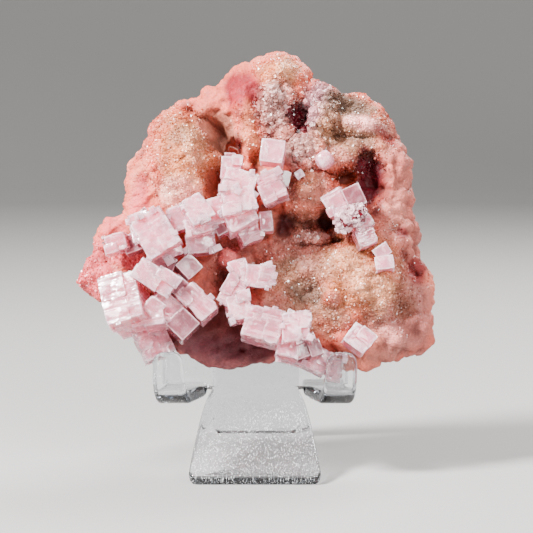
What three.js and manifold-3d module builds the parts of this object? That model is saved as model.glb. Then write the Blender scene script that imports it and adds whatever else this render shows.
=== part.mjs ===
// A pink halite specimen on its clear acrylic easel.
//
// Cubes of halite grow in chains and singles on a lumpy crust of fine halite. The crust leans back on
// a one-piece easel, bent from a single strip of sheet: a flared front foot, a backrest that turns
// over at the top into a narrow rear leg, and two ledges that curl up in front as lips.
//
// Millimetres, +Z up, +X to the right of someone who faces the specimen, -Y towards them.
import * as THREE from "three";
import { mergeVertices } from "three/addons/utils/BufferGeometryUtils.js";
import Module from "manifold-3d";

const wasm = await Module();
wasm.setup();

// ---- Driving dimensions ----

const GAP = 0.3; // clearance between pieces that touch
const LEAN = THREE.MathUtils.degToRad(14); // how far the backrest and the specimen lean back

// Easel. Side-view points are [forward, up], from the floor. The sheet is cut flat at the floor.
const SHEET = 3.2; // thickness of the acrylic, 1/8 inch
const FOOT_TIP = [24.6, 0.5]; // middle of the sheet at the front foot's edge, before it is cut
const FOOT_SLOPE = THREE.MathUtils.degToRad(37); // the foot's slope above the floor
const LEDGE_UP = 20.8; // middle of the sheet in the ledges
const BACKREST_FORWARD = -1.25; // middle of the sheet in the backrest, at the height of the ledges
const APEX_UP = 86; // where the backrest's and rear leg's straight lines would meet
const REAR_TIP = [-48.2, -0.5]; // middle of the sheet at the rear leg's edge, before it is cut
const LIP_FORWARD = 17.6; // middle of the sheet in the lips
const LIP_TOP = 33.2; // top edge of the lips
const LEDGE_ROOT_UP = 29; // the height at which a ledge's strip starts inside the backrest
const BENDS = { top: 5, neck: 8, ledge: 4.5 }; // bend radii at the middle of the sheet
const FOOT_HALF = 17.25; // half widths of the strip
const NECK_HALF = 11.4;
const BACKREST_HALF = 24.5;
const REAR_HALF = 12;
const FLARE_POWER = 0.62; // shapes the bell curve of the front foot
const STEP_ABOVE_NECK = 1.2; // where the strip steps out to the backrest's width, above the foot
const TAPER = [8, 46]; // the lengths above that step between which the backrest narrows
const LEDGE_EDGES = [12.3, 23.7]; // inner and outer edge of a ledge at its root
const LIP_EDGES = [18.5, 26.3]; // and of its lip
const ROOT_SHARE = 0.86; // a ledge's root lies inside the backrest, at this share of its thickness
const CORNER = 3; // corner radius of the foot, the rear leg and the lips
const STRAIGHT_STEP = 6; // spacing of the strip's cross-sections on its straights and in its bends
const BEND_STEP = 2;
const END_STATIONS = [0, 0.4, 1.1, 2, 3]; // distances from a strip's ends, where its corners are round
const STATION_GAP = 0.25; // stations closer than this are one
const STEP_OUT = 0.3; // half the length in which the strip widens at the ledges

// Specimen. Its own frame is [across, up the slab, out of the slab], from the middle of its back.
const SLAB_ORIGIN = [0, 10.16, 64.4];
const CRUST_BODY = 13; // usual thickness of the crust
const CRUST_MIDDLE = 7; // height of the rim's middle above the back plane
const BACK_CLEAR = 0.6; // the back's lowest height above the backrest's face
const FACE_CELLS = 24; // the crust's mesh: cells across its front, and rows round its rim
const RIM_ROWS = 4;
const FACE_SHARE = 0.965; // share of the radius that the front's cells cover
const BANK = 0.7; // width of a scarp's steep side
const THINNEST = 4.5; // the crust's least thickness
const RIM_FALL = { from: 36, slope: 0.55 }; // the right rim slopes away, in mm across and mm per mm

// ---- Solids from geometry, and back ----

function solidFrom(geometry) {
  const bare = geometry.clone();
  bare.deleteAttribute("normal");
  bare.deleteAttribute("uv");
  const merged = mergeVertices(bare, 1e-4);
  const mesh = new wasm.Mesh({
    numProp: 3,
    vertProperties: new Float32Array(merged.attributes.position.array),
    triVerts: new Uint32Array(merged.index.array),
  });
  return new wasm.Manifold(mesh);
}

function geometryFrom(solid) {
  const mesh = solid.getMesh();
  const places = new Float32Array(mesh.numVert * 3);
  for (let i = 0; i < mesh.numVert; i++) {
    places.set(mesh.vertProperties.subarray(i * mesh.numProp, i * mesh.numProp + 3), i * 3);
  }
  const geometry = new THREE.BufferGeometry();
  geometry.setAttribute("position", new THREE.BufferAttribute(places, 3));
  geometry.setIndex(new THREE.BufferAttribute(new Uint32Array(mesh.triVerts), 1));
  geometry.computeVertexNormals();
  return geometry;
}

function joined(solids) {
  return solids.reduce((sum, next) => sum.add(next));
}

// The largest body of a solid, without the chips that a cut leaves loose.
function largestBody(solid) {
  return solid.decompose().reduce((best, next) => (next.volume() > best.volume() ? next : best));
}

// Numbers from 0 to 1 that look random and are the same on every run.
function seeded(seed) {
  let state = seed;
  return () => {
    state = (state * 1664525 + 1013904223) % 4294967296;
    return state / 4294967296;
  };
}

// ---- Crust: outline and relief ----

// The slab's outline as [across, up], anticlockwise from the right.
const OUTLINE = [
  [41.4, 0.8], [42.4, 7.5], [41.8, 14.8], [40.2, 16.4], [38.6, 20.8], [34.7, 26.9], [32, 29.6],
  [28.7, 32.3], [24.1, 33.2], [18.2, 35.9], [14.2, 36.3], [13.6, 39.6], [10.9, 42], [7.9, 44.4],
  [5.5, 44.5], [-0.3, 42.3], [-5.6, 39.6], [-8.8, 35.8], [-12.6, 34.4], [-14.9, 31.2],
  [-19.4, 30.1], [-24, 27.1], [-27.6, 24.4], [-28.9, 20.8], [-31.9, 14.8], [-33, 8.9],
  [-33.4, 2.2], [-35.1, -0.5], [-39, -1.2], [-40.8, -5.2], [-41.6, -9.8], [-44.5, -11.8],
  [-46.7, -17.7], [-44, -19.6], [-40.6, -21.7], [-35.5, -25], [-31, -29.5], [-26, -33.5],
  [-21.2, -35.4], [-18.5, -36.8], [-12, -39.4], [-5.5, -39.9], [1, -38.8], [5.5, -37.2],
  [11.8, -37.4], [19.6, -38.8], [25.5, -39.4], [29, -40.2], [33.5, -38.1], [38.7, -36.4],
  [44.6, -35.5], [45.8, -32.8], [45.3, -25.6], [46.4, -19.1], [46.5, -15.7], [44.1, -13.4],
  [42.8, -9.8], [43.3, -4.5],
];

// Mounds and hollows: [across, up, half width, half height, turn in degrees, rise].
const MOUNDS = [
  [-20.5, 13, 11, 14, 15, 8], // upper left lobe
  [-16.5, 9, 6, 6, 0, 2],
  [-24.5, 19, 5, 4, 30, -1.6],
  [-9.2, 21.2, 4.4, 7.4, 34, -5.5], // the cleft's smooth wall
  [-10.6, 8, 2.8, 4.6, 10, -3],
  [-30.5, 8, 2, 7, -8, -2.2], // groove inside the left rim
  [3.5, 35.5, 9, 7, 20, 7.5], // top lobe
  [6.5, 38.5, 4, 3, 0, 2],
  [-2.4, 23, 2.6, 8, 4, 4.5], // ridge beside the cleft
  [-5, 31, 5, 5, 0, 2.5],
  [9, 26.5, 8, 9, 0, 4.5], // frosted knoll round the upper pit
  [12.5, 16.6, 4.6, 4.2, 0, 4.5],
  [20.6, 21, 4.6, 3.8, 0, -4.6],
  [27.6, 21, 3.4, 1.5, -8, -3.5],
  [28.6, 24.4, 6.6, 2, -14, 3.4], // pale ridge of the upper right
  [25.6, 29, 5, 3, -28, -3.2],
  [17, 28, 3.6, 7, -16, 2.2],
  [31.3, 25.4, 3.4, 2.6, -40, 2.4],
  [21.5, 14.8, 5, 3.2, -20, 2.4],
  [13.8, 6.4, 6.2, 5.2, 0, 7], // middle mound above the cave
  [13.5, -2.6, 10.5, 4.6, 0, -4.5], // the cave's floor
  [16, -5.4, 4.4, 1.5, 0, 2.4], // granular ledge in the cave
  [21.5, -7.6, 3, 3, 0, -3],
  [25, 8, 6, 4, -30, -3.5], // hollow behind the right cluster
  [25, -19, 16, 11, -10, 6.5], // lower right mound
  [13.6, -21.2, 7, 4, -14, -4.2],
  [19.6, -22.6, 2, 2, 0, 3.4],
  [33, -13.5, 4, 7, 10, 1.5],
  [37.9, -5.8, 4.4, 6, 0, 2.6], // lumps of the right rim
  [36.5, 12, 3.6, 9, -6, 2],
  [38.4, -24.6, 3.6, 4, 0, -3.4],
  [33.4, -26.4, 2.6, 3.2, -30, 2.2],
  [41.5, -30, 4.6, 4.2, 20, 2.6],
  [43, -14.5, 2.4, 3, 0, -2],
  [40.6, 4, 3, 4.4, 0, 2.4],
  [39.4, 16, 2.4, 4, -10, 2.2],
  [34.6, 22, 2.6, 2, -40, -2.2],
  [33.4, -30.5, 3, 3, 0, -2],
  [30, -35.2, 3.2, 2.4, 20, 2.6],
  [35.6, -31.6, 2.4, 3.6, 20, 3],
  [-6.5, -32, 12, 7, 0, -2.2], // shaded underside below the chain
  [-8.4, -15.4, 3.4, 6, -18, -4.4], // dark hollow between the clusters
  [-6.6, -13.8, 1.9, 2.1, 0, 7.5], // the bud in it
  [-36, -10, 4.5, 3, -12, -2.5],
  [-28.5, -19, 3, 3, 0, -2.5],
  [-41.5, -16, 4, 5, 0, -1.5],
];

// Scarps: the ground on the left of each line is cut down at the line and climbs back over `reach`.
// `ends` is the share of `drop` at the line's first and last point.
const SCARPS = [
  {
    line: [[-3.1, 13.6], [-3.9, 16.1], [-6.8, 20.8], [-8.6, 24], [-13, 26.8], [-18.4, 28.8]],
    drop: 12,
    reach: 8,
    ends: [1, 0.25],
  }, // cleft between the two upper lobes
  {
    line: [[19.6, 2.4], [16.4, 0.5], [12.5, -1.3], [8.1, 0.5], [4.8, 2]],
    drop: 6,
    reach: 6,
    ends: [0.6, 0.7],
  }, // cave under the middle mound
  {
    line: [[20.4, -6.6], [16, -7.8], [10.5, -7.6]],
    drop: 3.1,
    reach: 2.4,
    ends: [0.8, 0.4],
  }, // crack under the cave's granular ledge
  {
    line: [[26.5, 13], [23, 12.7], [21.1, 11.1], [17, 12.5], [13.5, 11.8]],
    drop: 7.2,
    reach: 4,
    ends: [0.7, 0.5],
  }, // overhang behind the right cluster
  {
    line: [[6.5, -34.6], [-1.5, -32], [-3.6, -26.6], [-8.6, -23], [-13.5, -27.5]],
    drop: 7.8,
    reach: 9,
    ends: [0.5, 0.6],
  }, // overhang above the underside
];

// Pits: [across, up, half width, half height, turn in degrees, depth].
const PITS = [
  [11.2, 25, 3.6, 5.8, 12, 6], // upper pit
  [30, 10, 4.6, 8.4, 6, 6], // dark pit of the right rim
  [7.2, -3.6, 2.6, 2.8, 0, 3],
  [18.4, -2, 2.6, 2.4, 0, 3],
  [23.6, 10.8, 3.6, 2.4, 10, 4.5],
  [-5.5, 18.2, 1.9, 2.8, 30, 5],
  [38.9, -10.8, 1.2, 1.1, 0, 2.5],
  [42.4, -15, 1.4, 1.7, 0, 2.5],
  [-3.4, -35.3, 1, 0.9, 0, 2],
];

// Distance from the slab's middle to its outline in a direction.
function outlineRadius(angle) {
  const dx = Math.cos(angle);
  const dy = Math.sin(angle);
  for (let i = 0; i < OUTLINE.length; i++) {
    const [ax, ay] = OUTLINE[i];
    const [bx, by] = OUTLINE[(i + 1) % OUTLINE.length];
    const before = dx * ay - dy * ax;
    const after = dx * by - dy * bx;
    if (before <= 0 && after > 0 && dx * (ax + bx) + dy * (ay + by) > 0) {
      return (ax * by - ay * bx) / (dx * (by - ay) - dy * (bx - ax));
    }
  }
  throw new Error("the outline doesn't go round its middle");
}

// How strongly a point lies inside an oval, from 0 outside to 1 at its middle.
function ovalWeight(x, y, [cx, cy, halfWidth, halfHeight, turn]) {
  const angle = THREE.MathUtils.degToRad(turn);
  const along = ((x - cx) * Math.cos(angle) + (y - cy) * Math.sin(angle)) / halfWidth;
  const across = ((y - cy) * Math.cos(angle) - (x - cx) * Math.sin(angle)) / halfHeight;
  return Math.exp(-(along * along + across * across) * 1.1);
}

// The nearest point of a line of points: its distance, its side and how far along it lies.
function nearestOnLine(x, y, line) {
  const best = { distance: Infinity, left: false, along: 0 };
  for (let i = 0; i + 1 < line.length; i++) {
    const [ax, ay] = line[i];
    const [bx, by] = line[i + 1];
    const span = (bx - ax) ** 2 + (by - ay) ** 2;
    const share = THREE.MathUtils.clamp(((x - ax) * (bx - ax) + (y - ay) * (by - ay)) / span, 0, 1);
    const distance = Math.hypot(x - ax - share * (bx - ax), y - ay - share * (by - ay));
    if (distance < best.distance) {
      best.distance = distance;
      best.left = (bx - ax) * (y - ay) - (by - ay) * (x - ax) > 0;
      best.along = (i + share) / (line.length - 1);
    }
  }
  return best;
}

function scarpCut(x, y, { line, drop, reach, ends }) {
  const { distance, left, along } = nearestOnLine(x, y, line);
  const depth = drop * THREE.MathUtils.lerp(ends[0], ends[1], along);
  return depth * (left ? Math.exp(-distance / reach) : Math.max(0, 1 - distance / BANK) ** 2);
}

// Low lumps all over, the same on every run.
function lumps(x, y) {
  const broad = Math.sin(0.55 * x + 0.23 * y + 1) * Math.sin(0.5 * y - 0.21 * x + 2);
  const narrow = Math.sin(1.25 * x - 0.7 * y) * Math.sin(1.1 * y + 0.45 * x + 1);
  return 0.7 * broad + 0.35 * narrow;
}

// Height of the crust's front above the back plane.
function frontHeight(x, y) {
  let height = CRUST_BODY + lumps(x, y);
  for (const mound of MOUNDS) {
    height += mound[5] * ovalWeight(x, y, mound);
  }
  for (const scarp of SCARPS) {
    height -= scarpCut(x, y, scarp);
  }
  height -= Math.max(0, x - RIM_FALL.from) * RIM_FALL.slope;
  return Math.max(height, THINNEST);
}

function backHeight(x, y) {
  return BACK_CLEAR + 0.8 * (1 + lumps(y + 20, x));
}

// Direction from the middle of a square that spreads its cells evenly round a circle.
function evenAngle(a, b) {
  if (a === 0 && b === 0) {
    return 0;
  }
  if (Math.abs(a) >= Math.abs(b)) {
    return (Math.PI / 4) * (b / a) + (a < 0 ? Math.PI : 0);
  }
  return Math.PI / 2 - (Math.PI / 4) * (a / b) + (b < 0 ? Math.PI : 0);
}

// A box of cells, pulled into the slab: its front and back carry the relief, its sides the rim.
function crustSlab() {
  const geometry = new THREE.BoxGeometry(2, 2, 2, FACE_CELLS, FACE_CELLS, RIM_ROWS);
  const places = geometry.attributes.position;
  const rimAngle = Math.acos(FACE_SHARE ** 2);
  for (let i = 0; i < places.count; i++) {
    const [a, b, c] = [places.getX(i), places.getY(i), places.getZ(i)];
    const ring = Math.max(Math.abs(a), Math.abs(b));
    const rim = Math.abs(c) < 0.999;
    const share = rim ? Math.sqrt(Math.cos(c * rimAngle)) : ring * FACE_SHARE;
    const swell = rim ? Math.sqrt(Math.abs(Math.sin(c * rimAngle))) : (1 - share ** 4) ** 0.25;
    const angle = evenAngle(a, b);
    const radius = outlineRadius(angle) * share;
    const x = radius * Math.cos(angle);
    const y = radius * Math.sin(angle);
    const face = c > 0 ? frontHeight(x, y) : backHeight(x, y);
    places.setXYZ(i, x, y, CRUST_MIDDLE + (face - CRUST_MIDDLE) * swell);
  }
  return solidFrom(geometry);
}

// An egg-shaped cutter for a pit, sunk into the front.
function pitCutter([x, y, halfWidth, halfHeight, turn, depth]) {
  const cutter = new THREE.IcosahedronGeometry(1, 1);
  cutter.scale(halfWidth, halfHeight, depth);
  cutter.rotateZ(THREE.MathUtils.degToRad(turn));
  cutter.translate(x, y, frontHeight(x, y) + 1);
  return solidFrom(cutter);
}

// ---- Crystals ----

// One crystal: `at` is the middle of its front face as [across, up, out of the slab], `size` is
// [across, up, deep] before `turn`, in the slab's plane, and `tip`, forward and sideways, in degrees.
// `blocks` is the number of smaller blocks grown on it.
const LEFT_CLUSTER = [
  { at: [-25.7, -6.7, 26], size: [9.2, 10.8, 10], turn: 31, tip: [2, -4], blocks: 2 },
  { at: [-36.1, -8.5, 20.5], size: [5.7, 4.6, 7], turn: 13, tip: [0, -10], blocks: 1 },
  { at: [-34.2, -23.3, 24.5], size: [9.5, 12.8, 13], turn: 12, tip: [-13, -14], blocks: 2 },
  { at: [-25.5, -18.5, 26], size: [11.2, 5.9, 10], turn: -33, tip: [4, 4], blocks: 2 },
  { at: [-16.8, -15.1, 22.8], size: [5.4, 5.2, 8], turn: -47, tip: [0, 8], blocks: 0 },
  { at: [-14.7, -24.2, 23.5], size: [9.7, 5.9, 9], turn: -47, tip: [-4, 0], blocks: 1 },
  { at: [-18.5, -29.9, 22.6], size: [6.5, 6.5, 8], turn: -44, tip: [-3, 3], blocks: 0 },
  { at: [-26, -33.8, 17], size: [8.4, 8.6, 9], turn: 24, tip: [-2, 4], blocks: 2 },
  { at: [-23, -25.7, 23], size: [7.6, 7, 9], turn: -38, tip: [6, 8], blocks: 1 },
  { at: [-28, -27.2, 23], size: [8.4, 6.6, 9], turn: 10, tip: [-8, -6], blocks: 1 },
  { at: [-21.6, -10.8, 22], size: [5.7, 4.4, 8], turn: 28, tip: [0, 4], blocks: 0 },
  { at: [-29.6, -4.6, 22], size: [5.6, 7.6, 8], turn: 16, tip: [0, -6], blocks: 0 },
  { at: [-31.4, -8.2, 18.5], size: [6, 5, 6], turn: 20, tip: [0, -4], blocks: 0 },
  { at: [-23.4, -14.4, 22], size: [6, 5, 7], turn: -20, tip: [0, 0], blocks: 0 },
  { at: [-19.4, -20.4, 21.5], size: [6, 5, 7], turn: -40, tip: [0, 0], blocks: 0 },
  { at: [-14.8, -0.5, 26], size: [6.2, 7.2, 9], turn: 33, tip: [-8, 10], blocks: 2 },
  { at: [-14.6, -4.7, 24.6], size: [6.6, 4.4, 8], turn: 14, tip: [-6, 0], blocks: 0 },
  { at: [-19.4, -2.2, 22.4], size: [5.6, 6.6, 7], turn: 22, tip: [0, 0], blocks: 0 },
  { at: [-13.9, -8.8, 20.8], size: [7.7, 5.2, 8], turn: 8, tip: [0, 6], blocks: 0 },
  { at: [-9.6, -1, 24], size: [5.7, 7.2, 9], turn: 14, tip: [4, -6], blocks: 0 },
  { at: [-8.8, -5.4, 22.6], size: [3.1, 3.1, 7], turn: 30, tip: [0, 0], blocks: 0 },
  { at: [-6.3, 10.4, 23.9], size: [5.3, 5.8, 8], turn: -4, tip: [2, -2], blocks: 1 },
  { at: [-6.5, 13.4, 22.4], size: [3.1, 2.6, 6], turn: -3, tip: [0, 0], blocks: 0 },
  { at: [-3.8, 6.4, 26], size: [8.6, 6.2, 9], turn: -14, tip: [0, 6], blocks: 1 },
  { at: [-4, 1.7, 26.4], size: [8.8, 6.4, 9], turn: 12, tip: [-6, 4], blocks: 1 },
  { at: [-3.8, -1.9, 25], size: [8.2, 6.6, 9], turn: 27, tip: [-8, 4], blocks: 1 },
  { at: [4.2, 5.3, 25.6], size: [6.5, 7.6, 9], turn: 23, tip: [0, -4], blocks: 2 },
  { at: [7.9, 7.8, 22], size: [2.8, 4.4, 7], turn: -12, tip: [0, 10], blocks: 0 },
  { at: [-1.3, -5.8, 20.8], size: [5.7, 5.9, 8], turn: 24, tip: [0, 8], blocks: 1 },
  { at: [2.9, -3, 20.8], size: [3.6, 5.4, 7], turn: 6, tip: [0, 0], blocks: 0 },
];

const LOWER_CHAIN = [
  { at: [-3.9, -16.2, 21.6], size: [5, 6.2, 8], turn: 16, tip: [0, 0], blocks: 1 },
  { at: [1.2, -17.6, 22.4], size: [7.4, 5.8, 8], turn: -7, tip: [4, 6], blocks: 2 },
  { at: [-5.9, -21.6, 21.6], size: [5, 8, 9], turn: -32, tip: [0, -6], blocks: 2 },
  { at: [-4, -25.6, 22.4], size: [6, 6.8, 8], turn: 14, tip: [-4, 4], blocks: 1 },
  { at: [2, -29.8, 22.4], size: [9.5, 8.4, 10], turn: -15, tip: [-7, 0], blocks: 2 },
  { at: [10.6, -30.8, 23.6], size: [7.2, 7.6, 9], turn: 3, tip: [-5, 6], blocks: 2 },
  { at: [8.5, -35.7, 21.8], size: [5.8, 5.4, 8], turn: -12, tip: [-4, 0], blocks: 1 },
  { at: [13, -35.4, 21], size: [6.6, 6, 8], turn: 20, tip: [-4, 4], blocks: 1 },
  { at: [9.3, -38.1, 18.6], size: [7.2, 3.3, 8], turn: -14, tip: [0, 0], blocks: 0 },
  { at: [16, -38.7, 16.6], size: [6.7, 6.2, 8], turn: -26, tip: [0, 4], blocks: 1 },
  { at: [20.4, -40.9, 14.5], size: [4.1, 6.4, 7], turn: -10, tip: [0, 0], blocks: 0 },
];

const CUBES = {
  crystal_upper_cube: [
    { at: [4.5, 14.8, 24.4], size: [6.2, 6.2, 7], turn: -9, tip: [-3, -3], blocks: 0 },
  ],
  crystal_upper_small: [
    { at: [11.5, 9.2, 21], size: [2.4, 2.4, 5], turn: 32, tip: [0, 0], blocks: 0 },
  ],
  crystal_right_cluster: [
    { at: [20.8, 2.2, 21.4], size: [6, 5.8, 7], turn: 30, tip: [0, -10], blocks: 1 },
    { at: [25.6, 3.1, 22.6], size: [5.2, 6, 7], turn: 24, tip: [0, 0], blocks: 0 },
    { at: [24, -2, 22.2], size: [6.8, 6, 7], turn: 12, tip: [0, 0], blocks: 1 },
    { at: [27.4, -3.2, 21.4], size: [5.4, 5.8, 7], turn: 40, tip: [0, 0], blocks: 1 },
    { at: [28.8, -7, 21.2], size: [5.2, 5, 6], turn: 22, tip: [-4, 6], blocks: 0 },
  ],
  crystal_right_cube: [
    { at: [33.4, -13.9, 21.6], size: [5, 3.7, 6], turn: 7, tip: [-8, 0], blocks: 0 },
    { at: [32.8, -11, 20.8], size: [4.6, 3.4, 6], turn: 32, tip: [10, 0], blocks: 0 },
  ],
  crystal_lower_right_cube: [
    { at: [27, -33.4, 20.6], size: [6.7, 6, 7], turn: -38, tip: [-4, 4], blocks: 1 },
  ],
};

const ROUND_CRYSTAL = { middle: [18.2, 13.4, 17.6], size: [4.8, 5, 5.2], turn: 36 };

const PINK_CLEAR = { color: 0xf0d3d6, roughness: 0.2, metalness: 0 };
const PINK_CRUST = { color: 0xd39d92, roughness: 0.75, metalness: 0 };
const ACRYLIC = { color: 0xe8edf2, roughness: 0.08, metalness: 0, transparent: true, opacity: 0.45 };

// A box in the slab's frame, placed by its crystal. `behind` is how far its middle lies behind the
// crystal's front face.
function crystalBox(crystal, size, [aside, above, behind], grow) {
  const box = new THREE.BoxGeometry(...size.map((length) => length + 2 * grow));
  box.translate(aside, above, -behind);
  const [forward, sideways, turn] = [...crystal.tip, crystal.turn].map(THREE.MathUtils.degToRad);
  const place = new THREE.Matrix4().makeRotationFromEuler(new THREE.Euler(forward, sideways, turn));
  box.applyMatrix4(place.setPosition(...crystal.at));
  return solidFrom(box);
}

// A crystal's body with smaller blocks grown on it in the same orientation. Each stands a little proud
// of the front and of the two sides at one corner.
function crystalSolid(crystal, grow = 0) {
  const random = seeded(Math.round(Math.abs(crystal.at[0] * 97 + crystal.at[1] * 31)) + 7);
  const [width, height, deep] = crystal.size;
  const blocks = [crystalBox(crystal, crystal.size, [0, 0, deep / 2], grow)];
  for (let i = 0; i < crystal.blocks; i++) {
    const [wide, tall] = [width * (0.45 + 0.35 * random()), height * (0.45 + 0.35 * random())];
    const proud = 0.25 + 0.4 * random();
    const aside = ((width - wide) / 2 + proud) * (random() < 0.5 ? -1 : 1);
    const above = ((height - tall) / 2 + proud) * (random() < 0.5 ? -1 : 1);
    const thick = deep * (0.4 + 0.4 * random());
    blocks.push(crystalBox(crystal, [wide, tall, thick], [aside, above, thick / 2 - proud], grow));
  }
  return joined(blocks);
}

function clusterSolid(crystals, grow = 0) {
  return largestBody(joined(crystals.map((crystal) => crystalSolid(crystal, grow))));
}

// The one crystal with worn corners, grown or not, as a ball of facets.
function roundCrystal(grow = 0) {
  const ball = new THREE.IcosahedronGeometry(1, 1);
  ball.scale(...ROUND_CRYSTAL.size.map((length) => length / 2 + grow));
  ball.rotateZ(THREE.MathUtils.degToRad(ROUND_CRYSTAL.turn));
  ball.translate(...ROUND_CRYSTAL.middle);
  return solidFrom(ball);
}

// Coarse grains of halite, fused to the crust where it is frosted: [across, up, spread, count].
const GRAIN_PATCHES = [
  [9, 26, 7, 11],
  [13, 16.5, 4, 5],
  [15, -5.4, 4, 4],
];

function grainSolids() {
  const random = seeded(11);
  const grains = [];
  for (const [x, y, spread, count] of GRAIN_PATCHES) {
    for (let i = 0; i < count; i++) {
      const angle = 2 * Math.PI * random();
      const reach = spread * Math.sqrt(random());
      const [across, up] = [x + reach * Math.cos(angle), y + reach * Math.sin(angle)];
      const side = 1.3 + 0.9 * random();
      const grain = { at: [across, up, frontHeight(across, up) + 0.8], turn: 90 * random() };
      grain.tip = [40 * random() - 20, 40 * random() - 20];
      grains.push(crystalBox(grain, [side, side, side * 1.4], [0, 0, side * 0.7], 0));
    }
  }
  return grains;
}

// ---- Easel ----

// A side-view path through corners, each rounded with its own bend radius.
function bentPath(corners, radii) {
  const path = new THREE.Path();
  const points = corners.map((corner) => new THREE.Vector2(...corner));
  path.moveTo(points[0].x, points[0].y);
  for (let i = 1; i + 1 < points.length; i++) {
    const into = points[i].clone().sub(points[i - 1]).normalize();
    const out = points[i + 1].clone().sub(points[i]).normalize();
    const turn = Math.atan2(into.cross(out), into.dot(out));
    const radius = radii[i - 1];
    const start = points[i].clone().addScaledVector(into, -radius * Math.tan(Math.abs(turn) / 2));
    const toCentre = new THREE.Vector2(-into.y, into.x).multiplyScalar(radius * Math.sign(turn));
    const centre = start.clone().add(toCentre);
    const from = Math.atan2(start.y - centre.y, start.x - centre.x);
    path.lineTo(start.x, start.y);
    path.absarc(centre.x, centre.y, radius, from, from + turn, turn < 0);
  }
  const last = points[points.length - 1];
  path.lineTo(last.x, last.y);
  return path;
}

// Stations along a path, close together in the bends and near both ends: {point, tangent, at}. The
// ones in `exact` are kept as they are, and no other stays within `clear` of them.
function stationsOn(path, exact = [], clear = 0) {
  const length = path.getLength();
  const ats = END_STATIONS.flatMap((at) => [at, length - at]);
  let start = 0;
  for (const curve of path.curves) {
    const span = curve.getLength();
    const cells = Math.max(1, Math.round(span / (curve.isEllipseCurve ? BEND_STEP : STRAIGHT_STEP)));
    for (let i = 0; i <= cells; i++) {
      ats.push(start + (span * i) / cells);
    }
    start += span;
  }
  return ats
    .filter((at) => at >= 0 && at <= length && !exact.some((kept) => Math.abs(at - kept) < 2 * clear))
    .concat(exact)
    .sort((a, b) => a - b)
    .filter((at, i, all) => i === 0 || at - all[i - 1] > STATION_GAP)
    .map((at) => {
      const share = THREE.MathUtils.clamp(at / length, 0, 1);
      return { at, point: path.getPointAt(share), tangent: path.getTangentAt(share) };
    });
}

// A strip of sheet along a path, with rounded edges. `edges(at)` gives its left and right edge, and
// `thin(at)` the share of the sheet's thickness that it has there.
function bentStrip(stations, edges, thin = () => 1) {
  const half = SHEET / 2;
  const columns = 3;
  const geometry = new THREE.BoxGeometry(1, 1, 1, columns, stations.length - 1, 2);
  const places = geometry.attributes.position;
  const last = stations.length - 1;
  for (let i = 0; i < places.count; i++) {
    const column = Math.round((places.getX(i) + 0.5) * columns);
    const row = Math.round((places.getY(i) + 0.5) * last);
    const layer = Math.round(places.getZ(i) * 2);
    const { point, tangent, at } = stations[row];
    const [left, right] = edges(at);
    const border = column === 0 || column === columns;
    const tip = row === 0 || row === last;
    const inset = Math.min(border ? (layer ? half * 0.3 : 0) : half, (right - left) * 0.3);
    const x = column <= 1 ? left + inset : right - inset;
    const pulled = tip && layer ? half * 0.3 * (row === 0 ? 1 : -1) : 0;
    const thickness = layer * half * (border || tip ? 0.7 : 1) * thin(at);
    const forward = point.x + tangent.x * pulled + tangent.y * thickness;
    const up = point.y + tangent.y * pulled - tangent.x * thickness;
    places.setXYZ(i, x, -forward, up);
  }
  const solid = solidFrom(geometry);
  if (solid.volume() > 0) {
    return solid;
  }
  geometry.index.array.reverse();
  return solidFrom(geometry);
}

// How far a rounded corner pulls an edge in, at a distance from the strip's end.
function cornerPull(distance) {
  const inside = Math.max(0, CORNER - distance);
  return CORNER - Math.sqrt(Math.max(0, CORNER * CORNER - inside * inside));
}

// A point of the backrest's middle line at a height.
function backrestAt(up) {
  return [BACKREST_FORWARD - (up - LEDGE_UP) * Math.tan(LEAN), up];
}

// Where the front foot's line meets the backrest's line.
function neckCorner() {
  const rise = Math.tan(FOOT_SLOPE);
  const lean = Math.tan(LEAN);
  const base = FOOT_TIP[1] + (FOOT_TIP[0] - BACKREST_FORWARD - LEDGE_UP * lean) * rise;
  return backrestAt(base / (1 - lean * rise));
}

// The main strip: front foot, neck, backrest, top bend and rear leg.
function mainStrip() {
  const neck = neckCorner();
  const path = bentPath([FOOT_TIP, neck, backrestAt(APEX_UP), REAR_TIP], [BENDS.neck, BENDS.top]);
  const footLength = Math.hypot(neck[0] - FOOT_TIP[0], neck[1] - FOOT_TIP[1]);
  const ledges = footLength + STEP_ABOVE_NECK;
  const length = path.getLength();
  const half = (at) => {
    if (at < ledges) {
      const share = Math.max(0, 1 - at / footLength);
      return NECK_HALF + (FOOT_HALF - NECK_HALF) * share ** FLARE_POWER - cornerPull(at);
    }
    const taper = THREE.MathUtils.smoothstep(at - ledges, ...TAPER);
    return THREE.MathUtils.lerp(BACKREST_HALF, REAR_HALF, taper) - cornerPull(length - at);
  };
  const stations = stationsOn(path, [ledges - STEP_OUT, ledges + STEP_OUT], STEP_OUT);
  return bentStrip(stations, (at) => [-half(at), half(at)]);
}

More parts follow.
